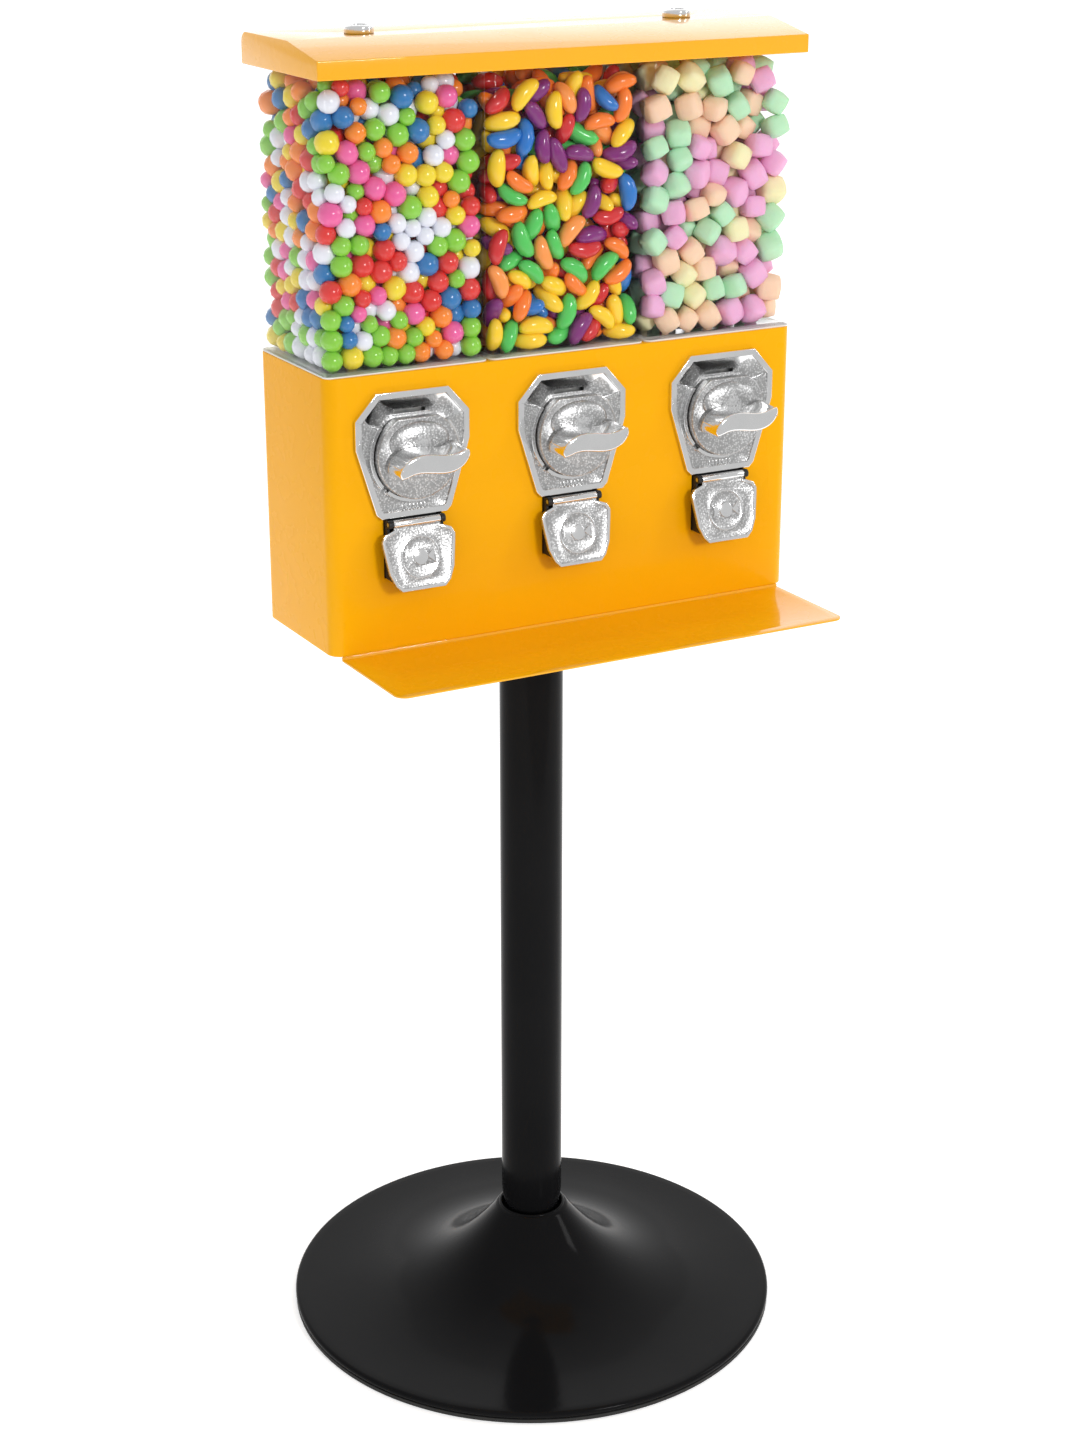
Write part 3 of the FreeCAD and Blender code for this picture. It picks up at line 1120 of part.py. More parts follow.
def main():
    pieces = {
        "base_dish": base_dish(),
        "base_edge_ring": base_edge_ring(),
        "base_weight": base_weight(),
        "pole": pole(),
        "tie_rod": tie_rod(),
        "tie_rod_nuts": tie_rod_nuts(),
        "top_flange": top_flange(),
        "flange_bolts": flange_bolts(),
        "cabinet_shell": cabinet_shell(),
        "cabinet_floor": cabinet_floor(),
        "catch_tray": catch_tray(),
        "tray_screws": tray_screws(),
        "lid": lid(),
    }
    repeated = {
        "coin_plate": coin_plate(),
        "knob": knob(),
        "spindle": spindle(),
        "coin_wheel": coin_wheel(),
        "back_plate": back_plate(),
        "pawl": pawl(),
        "drive_gear": drive_gear(),
        "candy_wheel": candy_wheel(),
        "wheel_housing": wheel_housing(),
        "chute": chute(),
        "flap": flap(),
        "canister": canister(),
    }
    for head in HEADS:
        for name, shape in repeated.items():
            pieces[head + "_" + name] = placed(shape, head)
        pieces[FILL_NAMES[head]] = placed(fill(head in LOCKED_HEADS), head)
    for head in LOCKED_HEADS:
        pieces[head + "_lock_body"] = placed(lock_body(), head)
        pieces[head + "_lock_plug"] = placed(lock_plug(), head)
    pieces["coin_plate_screws"] = Part.makeCompound(
        [placed(screw, head) for head in HEADS for screw in mech_screws()])
    pieces["flap_pins"] = Part.makeCompound([placed(flap_pin(), head) for head in HEADS])
    pieces["pocket_guards"] = Part.makeCompound([placed(guard(), head) for head in HEADS])
    pieces["hopper_rods"] = Part.makeCompound([placed(hopper_rod(), head) for head in LOCKED_HEADS])

    os.makedirs("parts", exist_ok=True)
    for name, shape in pieces.items():
        shape.exportStep("parts/" + name + ".step")
        bounds = shape.BoundBox
        print(
            f"{name:22s} solids {len(shape.Solids):2d} valid {shape.isValid()} volume {shape.Volume:11.1f} "
            f"x {bounds.XMin:7.1f} {bounds.XMax:7.1f} y {bounds.YMin:7.1f} {bounds.YMax:7.1f} "
            f"z {bounds.ZMin:7.1f} {bounds.ZMax:7.1f}")


main()
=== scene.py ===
import json
import math

import bpy
import numpy as np
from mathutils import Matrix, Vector

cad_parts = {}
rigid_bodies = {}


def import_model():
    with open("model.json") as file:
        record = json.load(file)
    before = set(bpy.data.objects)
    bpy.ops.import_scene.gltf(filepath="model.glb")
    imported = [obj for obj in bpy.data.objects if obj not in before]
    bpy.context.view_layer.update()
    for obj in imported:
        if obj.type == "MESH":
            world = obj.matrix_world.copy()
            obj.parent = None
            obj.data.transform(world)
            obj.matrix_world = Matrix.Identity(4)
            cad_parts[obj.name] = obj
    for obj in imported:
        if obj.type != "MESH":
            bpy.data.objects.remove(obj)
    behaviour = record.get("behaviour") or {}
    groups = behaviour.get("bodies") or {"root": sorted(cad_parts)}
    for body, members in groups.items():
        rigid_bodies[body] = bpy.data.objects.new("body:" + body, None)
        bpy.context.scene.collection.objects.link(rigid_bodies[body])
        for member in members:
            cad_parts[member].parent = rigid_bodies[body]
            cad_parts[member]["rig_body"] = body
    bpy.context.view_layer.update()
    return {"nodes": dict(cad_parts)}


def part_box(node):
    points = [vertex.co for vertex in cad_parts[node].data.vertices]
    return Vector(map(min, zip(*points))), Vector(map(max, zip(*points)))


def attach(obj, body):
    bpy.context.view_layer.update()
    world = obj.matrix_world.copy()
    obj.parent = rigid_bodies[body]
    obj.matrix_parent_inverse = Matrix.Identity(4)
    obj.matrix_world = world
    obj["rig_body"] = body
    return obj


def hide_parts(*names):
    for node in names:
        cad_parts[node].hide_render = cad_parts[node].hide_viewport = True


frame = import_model()


# ---------------------------------------------------------------- base dish
# The machine stands on a dish spun from one disc of steel: flat near its rolled rim, and swept up into a
# short collar that takes the pole. It is dipped in gloss black enamel, which pools a little and ripples.
class Socket:
    """An output of a material's nodes. Arithmetic on it adds Math nodes."""

    def __init__(self, paint, link):
        self.paint = paint
        self.link = link

    def math(self, operation, first, second=0.0):
        return self.paint.node("Math", {"operation": operation}, {0: first, 1: second})

    def __add__(self, other):
        return self.math("ADD", self, other)

    __radd__ = __add__

    def __sub__(self, other):
        return self.math("SUBTRACT", self, other)

    def __rsub__(self, other):
        return self.math("SUBTRACT", other, self)

    def __mul__(self, other):
        return self.math("MULTIPLY", self, other)

    __rmul__ = __mul__

    def __pow__(self, other):
        return self.math("POWER", self, other)

    def __abs__(self):
        return self.math("ABSOLUTE", self)

    def fade(self, start, end):
        """0 up to start and 1 from end, with a soft step between."""
        limits = {"Value": self, "From Min": start, "From Max": end}
        return self.paint.node("MapRange", {"interpolation_type": "SMOOTHSTEP"}, limits)


class Paint:
    """A procedural finish: uniform values sit on its shader's sockets, and varying ones are fed to them."""

    def __init__(self, name, uniform):
        self.material = bpy.data.materials.new(name)
        self.material.use_nodes = True
        self.tree = self.material.node_tree
        self.shader = self.tree.nodes["Principled BSDF"]
        self.place = self.node("TexCoord", {}, {}, "Object")
        for socket, value in uniform.items():
            self.feed(socket, value)

    def node(self, kind, settings, values, output=0):
        made = self.tree.nodes.new("ShaderNode" + kind)
        for name, value in settings.items():
            setattr(made, name, value)
        for name, value in values.items():
            self.join(value, made.inputs[name])
        return Socket(self, made.outputs[output])

    def join(self, value, socket):
        if isinstance(value, Socket):
            self.tree.links.new(value.link, socket)
        else:
            socket.default_value = value

    def feed(self, socket, value):
        self.join(value, self.shader.inputs[socket])

    def noise(self, scale, detail=2.0):
        return self.node("TexNoise", {}, {"Vector": self.place, "Scale": scale, "Detail": detail})

    def mix(self, share, first, second):
        return self.node("Mix", {"data_type": "RGBA"}, {0: share, 6: first, 7: second}, 2)

    def axis(self, name):
        return self.node("SeparateXYZ", {}, {0: self.place}, name)

    def emboss(self, height, depth):
        """Raised and sunk grain, depth metres deep where height goes from 0 to 1."""
        self.feed("Normal", self.node("Bump", {}, {"Height": height, "Distance": depth}))


def colour(red, green, blue):
    """Scene-linear colour from the usual 0 to 255 paint values."""
    return tuple((value / 255) ** 2.2 for value in (red, green, blue)) + (1.0,)


def activate(piece):
    bpy.ops.object.select_all(action="DESELECT")
    piece.select_set(True)
    bpy.context.view_layer.objects.active = piece


def coat(piece, paint):
    if not piece.material_slots:
        piece.data.materials.append(None)
    for slot in piece.material_slots:
        slot.material = paint.material


def lathe(name, outline, steps):
    """Turned piece: a circle extruded ring by ring along (radius, height) points and closed on itself."""
    bpy.ops.object.select_all(action="DESELECT")
    radius, height = outline[0]
    bpy.ops.mesh.primitive_circle_add(vertices=steps, radius=radius, location=(0, 0, height))
    piece = bpy.context.object
    piece.name = name
    bpy.ops.object.mode_set(mode="EDIT")
    for next_radius, next_height in outline[1:] + outline[:1]:
        bpy.ops.mesh.extrude_edges_move(TRANSFORM_OT_translate={"value": (0, 0, next_height - height)})
        growth = next_radius / radius
        bpy.ops.transform.resize(value=(growth, growth, 1), center_override=(0, 0, next_height))
        radius, height = next_radius, next_height
    bpy.ops.mesh.select_all(action="SELECT")
    bpy.ops.mesh.remove_doubles(threshold=1e-6)
    bpy.ops.mesh.normals_make_consistent(inside=False)
    bpy.ops.object.mode_set(mode="OBJECT")
    bpy.ops.object.transform_apply(location=True, rotation=True, scale=True)
    bpy.ops.object.shade_smooth_by_angle(angle=math.radians(40))
    return piece


enamel = Paint("black enamel", {"Specular IOR Level": 0.04, "Coat Roughness": 0.06})
pooling = enamel.noise(9.0, 3.0)
enamel.feed("Base Color", enamel.mix(pooling, (0.0045, 0.0045, 0.005, 1), (0.009, 0.009, 0.0095, 1)))
enamel.feed("Roughness", 0.09 + 0.07 * enamel.noise(40.0))
enamel.feed("Coat Weight", 0.02 * pooling)
enamel.emboss(enamel.noise(160.0, 1.0), 0.00003)

COLLAR_WALL = 0.0026
COLLAR_LIP = 0.0013
COLLAR_DEPTH = 0.016
POLE_GAP = 0.0002
DISH_WALL = 0.003
RIM_TOP = 0.009
RIM_BEAD = 0.003
FLARE_POWER = 3.4
FLARE_STEPS = 40
FLARE_CROWDING = 1.35            # above 1 brings the flare's rings closer together near the collar
UNDERSIDE_STEPS = 20
UNDERSIDE_INSET = 0.001
UNDERSIDE_END = 0.006
HUB_BORE_SHARE = 0.3
HUB_DEPTH = 0.018
dish_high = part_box("base_dish")[1]
pole_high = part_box("pole")[1]
collar_radius = pole_high.x + COLLAR_WALL
rim_centre = dish_high.x - RIM_BEAD


def flare_height(radius):
    """Height of the dish's upper face: flat at the rim, and steeper towards the collar."""
    reach = (dish_high.x - radius) / (dish_high.x - collar_radius)
    return RIM_TOP + (dish_high.z - RIM_TOP) * reach ** FLARE_POWER


def dish_outline():
    """Up the collar's bore, over its lip, down the flare, round the rim's bead and back underneath."""
    points = [(pole_high.x + POLE_GAP, dish_high.z - COLLAR_DEPTH)]
    middle = collar_radius - COLLAR_WALL / 2
    for step in range(7):
        lip = math.radians(180 - 30 * step)
        height = dish_high.z - COLLAR_LIP + COLLAR_LIP * math.sin(lip)
        points.append((middle + COLLAR_WALL / 2 * math.cos(lip), height))
    for step in range(1, FLARE_STEPS):
        radius = collar_radius + (rim_centre - collar_radius) * (step / FLARE_STEPS) ** FLARE_CROWDING
        points.append((radius, flare_height(radius)))
    for step in range(9):
        roll = math.radians(90 - 180 * step / 8)
        height = RIM_TOP - RIM_BEAD + RIM_BEAD * math.sin(roll)
        points.append((rim_centre + RIM_BEAD * math.cos(roll), height))
    for step in range(UNDERSIDE_STEPS):
        inward = (rim_centre - collar_radius - UNDERSIDE_END) * step / (UNDERSIDE_STEPS - 1)
        radius = rim_centre - UNDERSIDE_INSET - inward
        points.append((radius, flare_height(radius + UNDERSIDE_INSET) - DISH_WALL))
    points.append((pole_high.x * HUB_BORE_SHARE, points[-1][1]))
    points.append((pole_high.x * HUB_BORE_SHARE, dish_high.z - HUB_DEPTH))
    return points


base_dish = lathe("base_dish_enamelled", dish_outline(), steps=160)
coat(base_dish, enamel)
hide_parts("base_dish")
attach(base_dish, "cabinet")

# ---------------------------------------------------------------- under the dish
# A moulded rubber ring keeps the rim off the floor, and an iron casting under the hub keeps the machine
# upright. A plated rod through the pole, with a nut at each end, clamps base, pole and cabinet together.
rubber = Paint("moulded rubber", {"Specular IOR Level": 0.3})
dust = rubber.noise(120.0, 4.0)
rubber.feed("Base Color", rubber.mix(dust, (0.012, 0.012, 0.012, 1), (0.035, 0.034, 0.032, 1)))
rubber.feed("Roughness", 0.6 + 0.25 * dust)
rubber.emboss(rubber.noise(900.0), 0.0001)
coat(frame["nodes"]["base_edge_ring"], rubber)

iron = Paint("rough cast iron", {"Metallic": 0.6})
sand = iron.noise(420.0, 6.0)
iron.feed("Base Color", iron.mix(iron.noise(14.0, 4.0), (0.02, 0.02, 0.02, 1), (0.07, 0.062, 0.055, 1)))
iron.feed("Roughness", 0.5 + 0.35 * sand)
iron.emboss(sand, 0.0008)
coat(frame["nodes"]["base_weight"], iron)

zinc = Paint("zinc plated steel", {"Metallic": 1.0})
spangle = zinc.node("TexVoronoi", {}, {"Vector": zinc.place, "Scale": 260.0}, "Distance")
zinc.feed("Base Color", zinc.mix(spangle, (0.42, 0.43, 0.44, 1), (0.66, 0.66, 0.63, 1)))
zinc.feed("Roughness", 0.25 + 0.2 * zinc.noise(300.0))
zinc.emboss(zinc.noise(1400.0), 0.00004)
for node in ("tie_rod", "tie_rod_nuts", "flange_bolts", "tray_screws", "coin_plate_screws", "flap_pins"):
    coat(frame["nodes"][node], zinc)

# ---------------------------------------------------------------- pole
# Drawn steel tube in the same black enamel. Its lower end is swaged in so that it drops into the collar,
# and its upper end goes straight into the flange under the cabinet.
POLE_WALL = 0.0018
SWAGE_LENGTH = 0.021
SWAGE_DEPTH = 0.0052
SWAGE_SEAT = 0.003
SWAGE_STEPS = 10
TOP_BAND = 0.3
pole_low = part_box("pole")[0]
swaged = pole_high.x - SWAGE_DEPTH
pole_outline = [(pole_high.x - POLE_WALL, pole_high.z), (pole_high.x, pole_high.z)]
pole_outline.append((pole_high.x, pole_high.z - TOP_BAND))
for step in range(SWAGE_STEPS + 1):
    round_in = math.radians(90 * step / SWAGE_STEPS)
    pole_outline.append((
        pole_high.x - SWAGE_DEPTH * (1 - math.cos(round_in)),
        dish_high.z - SWAGE_SEAT + SWAGE_LENGTH * (1 - math.sin(round_in)),
    ))
pole_outline.append((swaged, pole_low.z))
pole_outline.append((swaged - POLE_WALL, pole_low.z))
pole_outline.append((swaged - POLE_WALL, dish_high.z))
pole = lathe("pole_enamelled", pole_outline, steps=96)
coat(pole, enamel)
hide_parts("pole")
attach(pole, "cabinet")


# ---------------------------------------------------------------- top flange
# Black enamelled flange with a collar round the pole's upper end, bolted up against the cabinet's floor.
SHARP_ANGLE = math.radians(34)
SMOOTH_ANGLE = math.radians(40)


def softened(node, paint, width, segments=2, flat_angle=0.4):
    """A copy of a CAD node with its edges rounded, as the press, mould or polisher leaves them."""
    source = frame["nodes"][node]
    piece = bpy.data.objects.new(node + "_finished", source.data.copy())
    bpy.context.collection.objects.link(piece)
    activate(piece)
    bpy.ops.mesh.customdata_custom_splitnormals_clear()
    bpy.ops.object.mode_set(mode="EDIT")
    bpy.ops.mesh.select_all(action="SELECT")
    bpy.ops.mesh.remove_doubles(threshold=2e-6)
    bpy.ops.mesh.dissolve_limited(angle_limit=math.radians(flat_angle))
    bpy.ops.object.mode_set(mode="OBJECT")
    edge = piece.modifiers.new("edge", "BEVEL")
    edge.width = width
    edge.segments = segments
    edge.limit_method = "ANGLE"
    edge.angle_limit = SHARP_ANGLE
    edge.use_clamp_overlap = False
    bpy.ops.object.modifier_apply(modifier="edge")
    bpy.ops.object.shade_smooth_by_angle(angle=SMOOTH_ANGLE)
    coat(piece, paint)
    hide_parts(node)
    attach(piece, source["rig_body"])
    return piece


softened("top_flange", enamel, 0.0008)

# ---------------------------------------------------------------- cabinet
# Sheet steel box, folded and welded, with its joints ground flush and a yellow powder coat baked on. The
# coat is satin with a fine orange peel. The floor pan is a second pressing, fixed in at the bottom.
def powder_coat(name, gloss):
    """Baked yellow powder; gloss is how far the coat has flowed out to a clear, level skin."""
    paint = Paint(name, {"Coat Roughness": 0.03, "Coat IOR": 1.6, "Specular IOR Level": 0.08})
    drift = paint.noise(6.0, 3.0)
    paint.feed("Base Color", paint.mix(drift, colour(246, 171, 12), colour(252, 179, 18)))
    paint.feed("Roughness", 0.2 + 0.14 * paint.noise(60.0))
    paint.feed("Coat Weight", gloss * (0.8 + 0.2 * drift))
    paint.emboss(paint.noise(420.0), 0.00002)
    return paint


powder = powder_coat("yellow powder coat", 0.07)
glossy_powder = powder_coat("level yellow powder coat", 0.9)
softened("cabinet_shell", powder, 0.0007, segments=3)
coat(frame["nodes"]["cabinet_floor"], powder)

# ---------------------------------------------------------------- catch tray
# One pressing of the same sheet: a flat lip with rounded corners round a shallow hopper of four folded
# panels, hung from screws through the cabinet's floor. Candy that misses a hand rolls to the middle.
softened("catch_tray", glossy_powder, 0.0005)


# ---------------------------------------------------------------- coin plates
# Zinc die castings, bright chrome plated: a smooth raised border round a stippled field, facets that fall
# to the coin slot, and a ring wall round the knob. Screws from behind hold each one on the cabinet's face.
PLATE_PROUD_OF_RING = 0.0026


def chrome(name, stippled):
    """Bright chrome: smooth where stippled(paint) is 0, and with a cast stipple where it is 1."""
    paint = Paint(name, {"Metallic": 1.0})
    field = stippled(paint)
    cells = paint.node("TexVoronoi", {}, {"Vector": paint.place, "Scale": 640.0}, "Distance")
    grain = (cells + 0.5 * paint.noise(1100.0)) * field
    cloud = paint.noise(70.0, 3.0)
    plain = paint.mix(cloud, (0.78, 0.785, 0.79, 1), (0.90, 0.90, 0.895, 1))
    paint.feed("Base Color", paint.mix(grain.fade(0.2, 0.9), plain, (0.40, 0.40, 0.40, 1)))
    paint.feed("Roughness", 0.08 + 0.06 * cloud + 0.24 * field)
    paint.emboss(grain + 0.1 * paint.noise(220.0), 0.00013)
    return paint


plate_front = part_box("left_coin_plate")[0].y + PLATE_PROUD_OF_RING


def plate_field(paint):
    """The sunk faces that look straight forward, inside the raised border."""
    facing = paint.node("NewGeometry", {}, {}, "Normal")
    facing_front = paint.node("SeparateXYZ", {}, {0: facing}, "Y") * -1.0
    return paint.axis("Y").fade(plate_front + 0.001, plate_front + 0.0016) * facing_front.fade(0.9, 0.94)


plate_chrome = chrome("chromed casting", plate_field)
for head in ("left", "middle", "right"):
    softened(head + "_coin_plate", plate_chrome, 0.0002, segments=1, flat_angle=0.0)

# ---------------------------------------------------------------- knobs
# Each knob is a chromed dial with a flat on top, a domed and stippled upper face, and an S-shaped grip cast
# in one with it. It is pinned to the spindle behind it.
DOME_HALF_WIDTH = 0.0235
DOME_HALF_HEIGHT = 0.0145
DOME_RISE = 0.0052
DOME_UP = 0.0105
DIAL_DEPTH = 0.007
knob_low, knob_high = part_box("left_knob")
dial_face = knob_high.y - DIAL_DEPTH
knob_axis_z = knob_low.z + (knob_high.x - knob_low.x) / 2


def dial_field(paint):
    """The dial's face and dome, and not the grip that stands out in front of them."""
    return paint.axis("Y").fade(dial_face - 0.0056, dial_face - 0.0046)


knob_chrome = chrome("chromed knob", dial_field)
for head in ("left", "middle", "right"):
    low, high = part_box(head + "_knob")
    knob = softened(head + "_knob", knob_chrome, 0.0002)
    middle_x = (low.x + high.x) / 2
    bpy.ops.object.select_all(action="DESELECT")
    bpy.ops.mesh.primitive_uv_sphere_add(
        segments=48, ring_count=24, radius=1.0, location=(middle_x, dial_face, knob_axis_z + DOME_UP))
    dome = bpy.context.object
    dome.scale = (DOME_HALF_WIDTH, DOME_RISE, DOME_HALF_HEIGHT)
    bpy.ops.object.transform_apply(location=True, rotation=True, scale=True)
    bpy.ops.object.shade_smooth()
    coat(dome, knob_chrome)
    activate(knob)
    dome.select_set(True)
    bpy.ops.object.join()

# ---------------------------------------------------------------- coin mechanisms
# Behind each plate: a plated spindle with a slotted coin wheel and ratchet, its pawl, and a pressed back
# plate. The spindle's nylon gear drives the moulded candy wheel in its white housing.
nylon = Paint("moulded nylon", {"Subsurface Weight": 0.1})
flow = nylon.noise(45.0, 3.0)
nylon.feed("Base Color", nylon.mix(flow, (0.60, 0.57, 0.48, 1), (0.72, 0.70, 0.62, 1)))
nylon.feed("Roughness", 0.4 + 0.2 * flow)
nylon.emboss(nylon.noise(700.0), 0.00005)

white_plastic = Paint("white moulding", {"Specular IOR Level": 0.5})
sheen = white_plastic.noise(30.0, 2.0)
white_plastic.feed("Base Color", white_plastic.mix(sheen, (0.80, 0.80, 0.77, 1), (0.88, 0.88, 0.86, 1)))
white_plastic.feed("Roughness", 0.24 + 0.15 * sheen)
white_plastic.emboss(white_plastic.noise(600.0), 0.00004)

for head in ("left", "middle", "right"):
    for part in ("spindle", "coin_wheel", "back_plate", "pawl"):
        coat(frame["nodes"][head + "_" + part], zinc)
    coat(frame["nodes"][head + "_drive_gear"], nylon)
    coat(frame["nodes"][head + "_candy_wheel"], white_plastic)
    softened(head + "_wheel_housing", white_plastic, 0.0003)
coat(frame["nodes"]["pocket_guards"], zinc)

# ---------------------------------------------------------------- chutes
# Black moulded chutes whose mouths stand out of the cabinet's face, with ears at the top for the flap's pin.
black_plastic = Paint("black moulding", {"Specular IOR Level": 0.35})
grain = black_plastic.noise(900.0, 3.0)
black_plastic.feed("Base Color", black_plastic.mix(grain, (0.008, 0.008, 0.009, 1), (0.02, 0.02, 0.021, 1)))
black_plastic.feed("Roughness", 0.38 + 0.2 * grain)
black_plastic.emboss(grain, 0.00008)
for head in ("left", "middle", "right"):
    softened(head + "_chute", black_plastic, 0.0003)

# ---------------------------------------------------------------- flaps
# Chromed die cast flaps, hung on a steel pin: a smooth raised rim round a stippled field, with a ring and a
# wrapped sweet in low relief.
FLAP_TILT = math.radians(12)
LEAF_HALF = 0.0011
BARREL_RADIUS = 0.0029
flap_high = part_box("left_flap")[1]
hinge_y = flap_high.y - BARREL_RADIUS
hinge_z = flap_high.z - BARREL_RADIUS


def flap_field(paint):
    """The leaf's own face, measured square to the tilted leaf, below the rim and the relief."""
    along_y = (paint.axis("Y") - hinge_y) * -math.cos(FLAP_TILT)
    along_z = (paint.axis("Z") - hinge_z) * math.sin(FLAP_TILT)
    return 1.0 - (along_y + along_z).fade(LEAF_HALF + 0.00015, LEAF_HALF + 0.0004)


flap_chrome = chrome("chromed flap", flap_field)
for head in ("left", "middle", "right"):
    softened(head + "_flap", flap_chrome, 0.0002)

# ---------------------------------------------------------------- hoppers
# Three clear moulded hoppers stand side by side on their wheel housings. Their polished walls show little
# but their edges and the sky's reflection.
clear = Paint("clear hopper", {"Base Color": (0.95, 0.97, 1.0, 1), "Metallic": 1.0})
glance = clear.node("LayerWeight", {}, {"Blend": 0.5}, "Facing")
smears = clear.noise(22.0, 4.0)
clear.feed("Alpha", 0.004 + 0.9 * glance ** 8.0 + 0.006 * smears)
clear.feed("Roughness", 0.02 + 0.05 * smears)
clear.emboss(clear.noise(12.0, 1.0), 0.0002)
for head in ("left", "middle", "right"):
    softened(head + "_canister", clear, 0.0005)


# ---------------------------------------------------------------- candy
# Loose sweets poured into each hopper: glazed sugar balls on the left, glossy jelly beans in the middle and
# dusted marshmallow pieces on the right, all shaken down against the walls.
PLACE_JITTER = 0.45              # of the starting grid's spacing
LEAN = 0.3                       # how far a long sweet leans in or out at first; 1 is anyhow
SINK = 0.02                      # of a radius each step at first
PUSH = 0.4                       # of an overlap that each of two sweets gives way in a step
NEIGHBOUR_REACH = 2.5            # radii
STEPS_BETWEEN_LISTS = 6


def settle(sizes, beads, radius, room, seed, steps):
    """Centres and turns of sweets shaken down in a hopper. A sweet is a stiff row of round beads."""
    count = len(sizes)
    kinds = len(beads)
    reach = np.repeat(sizes * radius, kinds)[:, None]
    beads = sizes[:, None, None] * beads
    room_low, room_high, rod = room
    random = np.random.default_rng(seed)
    room_low = np.array(room_low) + reach
    room_high = np.array(room_high) - reach
    start = room_low.max(0)
    size = room_high.min(0) - start
    spacing = (size.prod() / count) ** (1 / 3)
    cells = np.ceil(size / spacing).astype(int)
    grid = np.stack(np.meshgrid(*[np.arange(cell) + 0.5 for cell in cells], indexing="ij"), -1).reshape(-1, 3)
    chosen = random.choice(len(grid), count, replace=False)
    centres = start + grid[chosen] / cells * size + random.normal(0, spacing * PLACE_JITTER, (count, 3))
    axes = random.normal(size=(count, 3, 3))
    axes[:, 1, 0] *= LEAN
    turns = np.linalg.qr(axes)[0]
    turns[np.linalg.det(turns) < 0] *= -1
    owner = np.repeat(np.arange(count), kinds)
    points = centres[:, None] + np.einsum("nij,nkj->nki", turns, beads)
    for step in range(steps):
        flat = points.reshape(-1, 3)
        flat[:, 2] -= radius * SINK * (1 - step / steps)
        if step % STEPS_BETWEEN_LISTS == 0:
            squares = (flat ** 2).sum(1)
            gaps = squares[:, None] + squares[None] - 2 * flat @ flat.T
            first, second = np.nonzero(gaps < (NEIGHBOUR_REACH * radius) ** 2)
            apart = owner[first] < owner[second]
            first, second = first[apart], second[apart]
        between = flat[first] - flat[second]
        distance = np.maximum(np.linalg.norm(between, axis=1, keepdims=True), 1e-7)
        push = between / distance * np.maximum(reach[first] + reach[second] - distance, 0) * PUSH
        np.add.at(flat, first, push)
        np.add.at(flat, second, -push)
        if rod is not None:
            aside = flat[:, :2] - rod[:2]
            off = np.maximum(np.linalg.norm(aside, axis=1, keepdims=True), 1e-7)
            flat[:, :2] += aside / off * np.maximum(rod[2] + reach - off, 0)
        flat = np.clip(flat, room_low, room_high)
        points = flat.reshape(count, kinds, 3)
        if kinds > 1:
            centres = points.mean(1)
            lean = np.einsum("nki,nkj->nij", points - centres[:, None], beads)
            left, _, right = np.linalg.svd(lean)
            flip = np.ones((count, 3))
            flip[:, 2] = np.sign(np.linalg.det(left @ right))
            turns = (left * flip[:, None]) @ right
            points = centres[:, None] + np.einsum("nij,nkj->nki", turns, beads)
    return points.mean(1), turns


def heap(name, sweet, centres, turns, sizes, tints, replaced, paint):
    """One mesh of every sweet in a hopper, each with its own tint."""
    shape = np.array([vertex.co for vertex in sweet.data.vertices])
    faces = np.array([list(face.vertices) for face in sweet.data.polygons])
    points = centres[:, None] + np.einsum("nij,vj->nvi", turns, shape) * sizes[:, None, None]
    shifts = np.arange(len(centres))[:, None, None] * len(shape)
    mesh = bpy.data.meshes.new(name)
    mesh.from_pydata(points.reshape(-1, 3), [], (faces[None] + shifts).reshape(-1, 4).tolist())
    mesh.polygons.foreach_set("use_smooth", [True] * len(mesh.polygons))
    tint = mesh.color_attributes.new("tint", "FLOAT_COLOR", "POINT")
    tint.data.foreach_set("color", np.repeat(tints, len(shape), axis=0).astype(np.float32).ravel())
    bpy.data.objects.remove(sweet)
    whole = bpy.data.objects.new(name, mesh)
    bpy.context.collection.objects.link(whole)
    coat(whole, paint)
    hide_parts(replaced)
    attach(whole, "cabinet")


def round_sweet(half_sizes, roundness, cuts=2):
    """A cube cut into a few dozen faces, rounded and stretched to half_sizes."""
    bpy.ops.object.select_all(action="DESELECT")
    bpy.ops.mesh.primitive_cube_add(size=1.0)
    bpy.ops.object.mode_set(mode="EDIT")
    bpy.ops.mesh.subdivide(number_cuts=cuts)
    bpy.ops.transform.tosphere(value=roundness)
    bpy.ops.object.mode_set(mode="OBJECT")
    bpy.context.view_layer.update()
    sweet = bpy.context.object
    sweet.dimensions = [2 * half for half in half_sizes]
    bpy.ops.object.transform_apply(location=True, rotation=True, scale=True)
    return sweet


def picked(colours, count, seed):
    """A colour for each sweet, with each colour's share of the mix."""
    random = np.random.default_rng(seed)
    shares = np.array([share for share, _ in colours])
    tones = np.array([tone for _, tone in colours])
    return tones[random.choice(len(colours), count, p=shares / shares.sum())]


def sugar(name, gloss, depth, mottle):
    """Sugar shell or dusting in the sweet's own tint."""
    paint = Paint(name, {"Specular IOR Level": 0.5})
    tint = paint.node("Attribute", {"attribute_name": "tint"}, {}, "Color")
    pale = paint.mix(0.25, tint, (1, 1, 1, 1))
    patches = paint.noise(160.0, 3.0)
    paint.feed("Base Color", paint.mix(patches * mottle, tint, pale))
    paint.feed("Roughness", gloss + 0.12 * patches)
    paint.emboss(paint.noise(500.0, 3.0), depth)
    return paint


shake = 220
CANISTER_WALL = 0.0022
ROD_RADIUS = 0.004
rods_low, rods_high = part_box("hopper_rods")
rods_y = (rods_low.y + rods_high.y) / 2


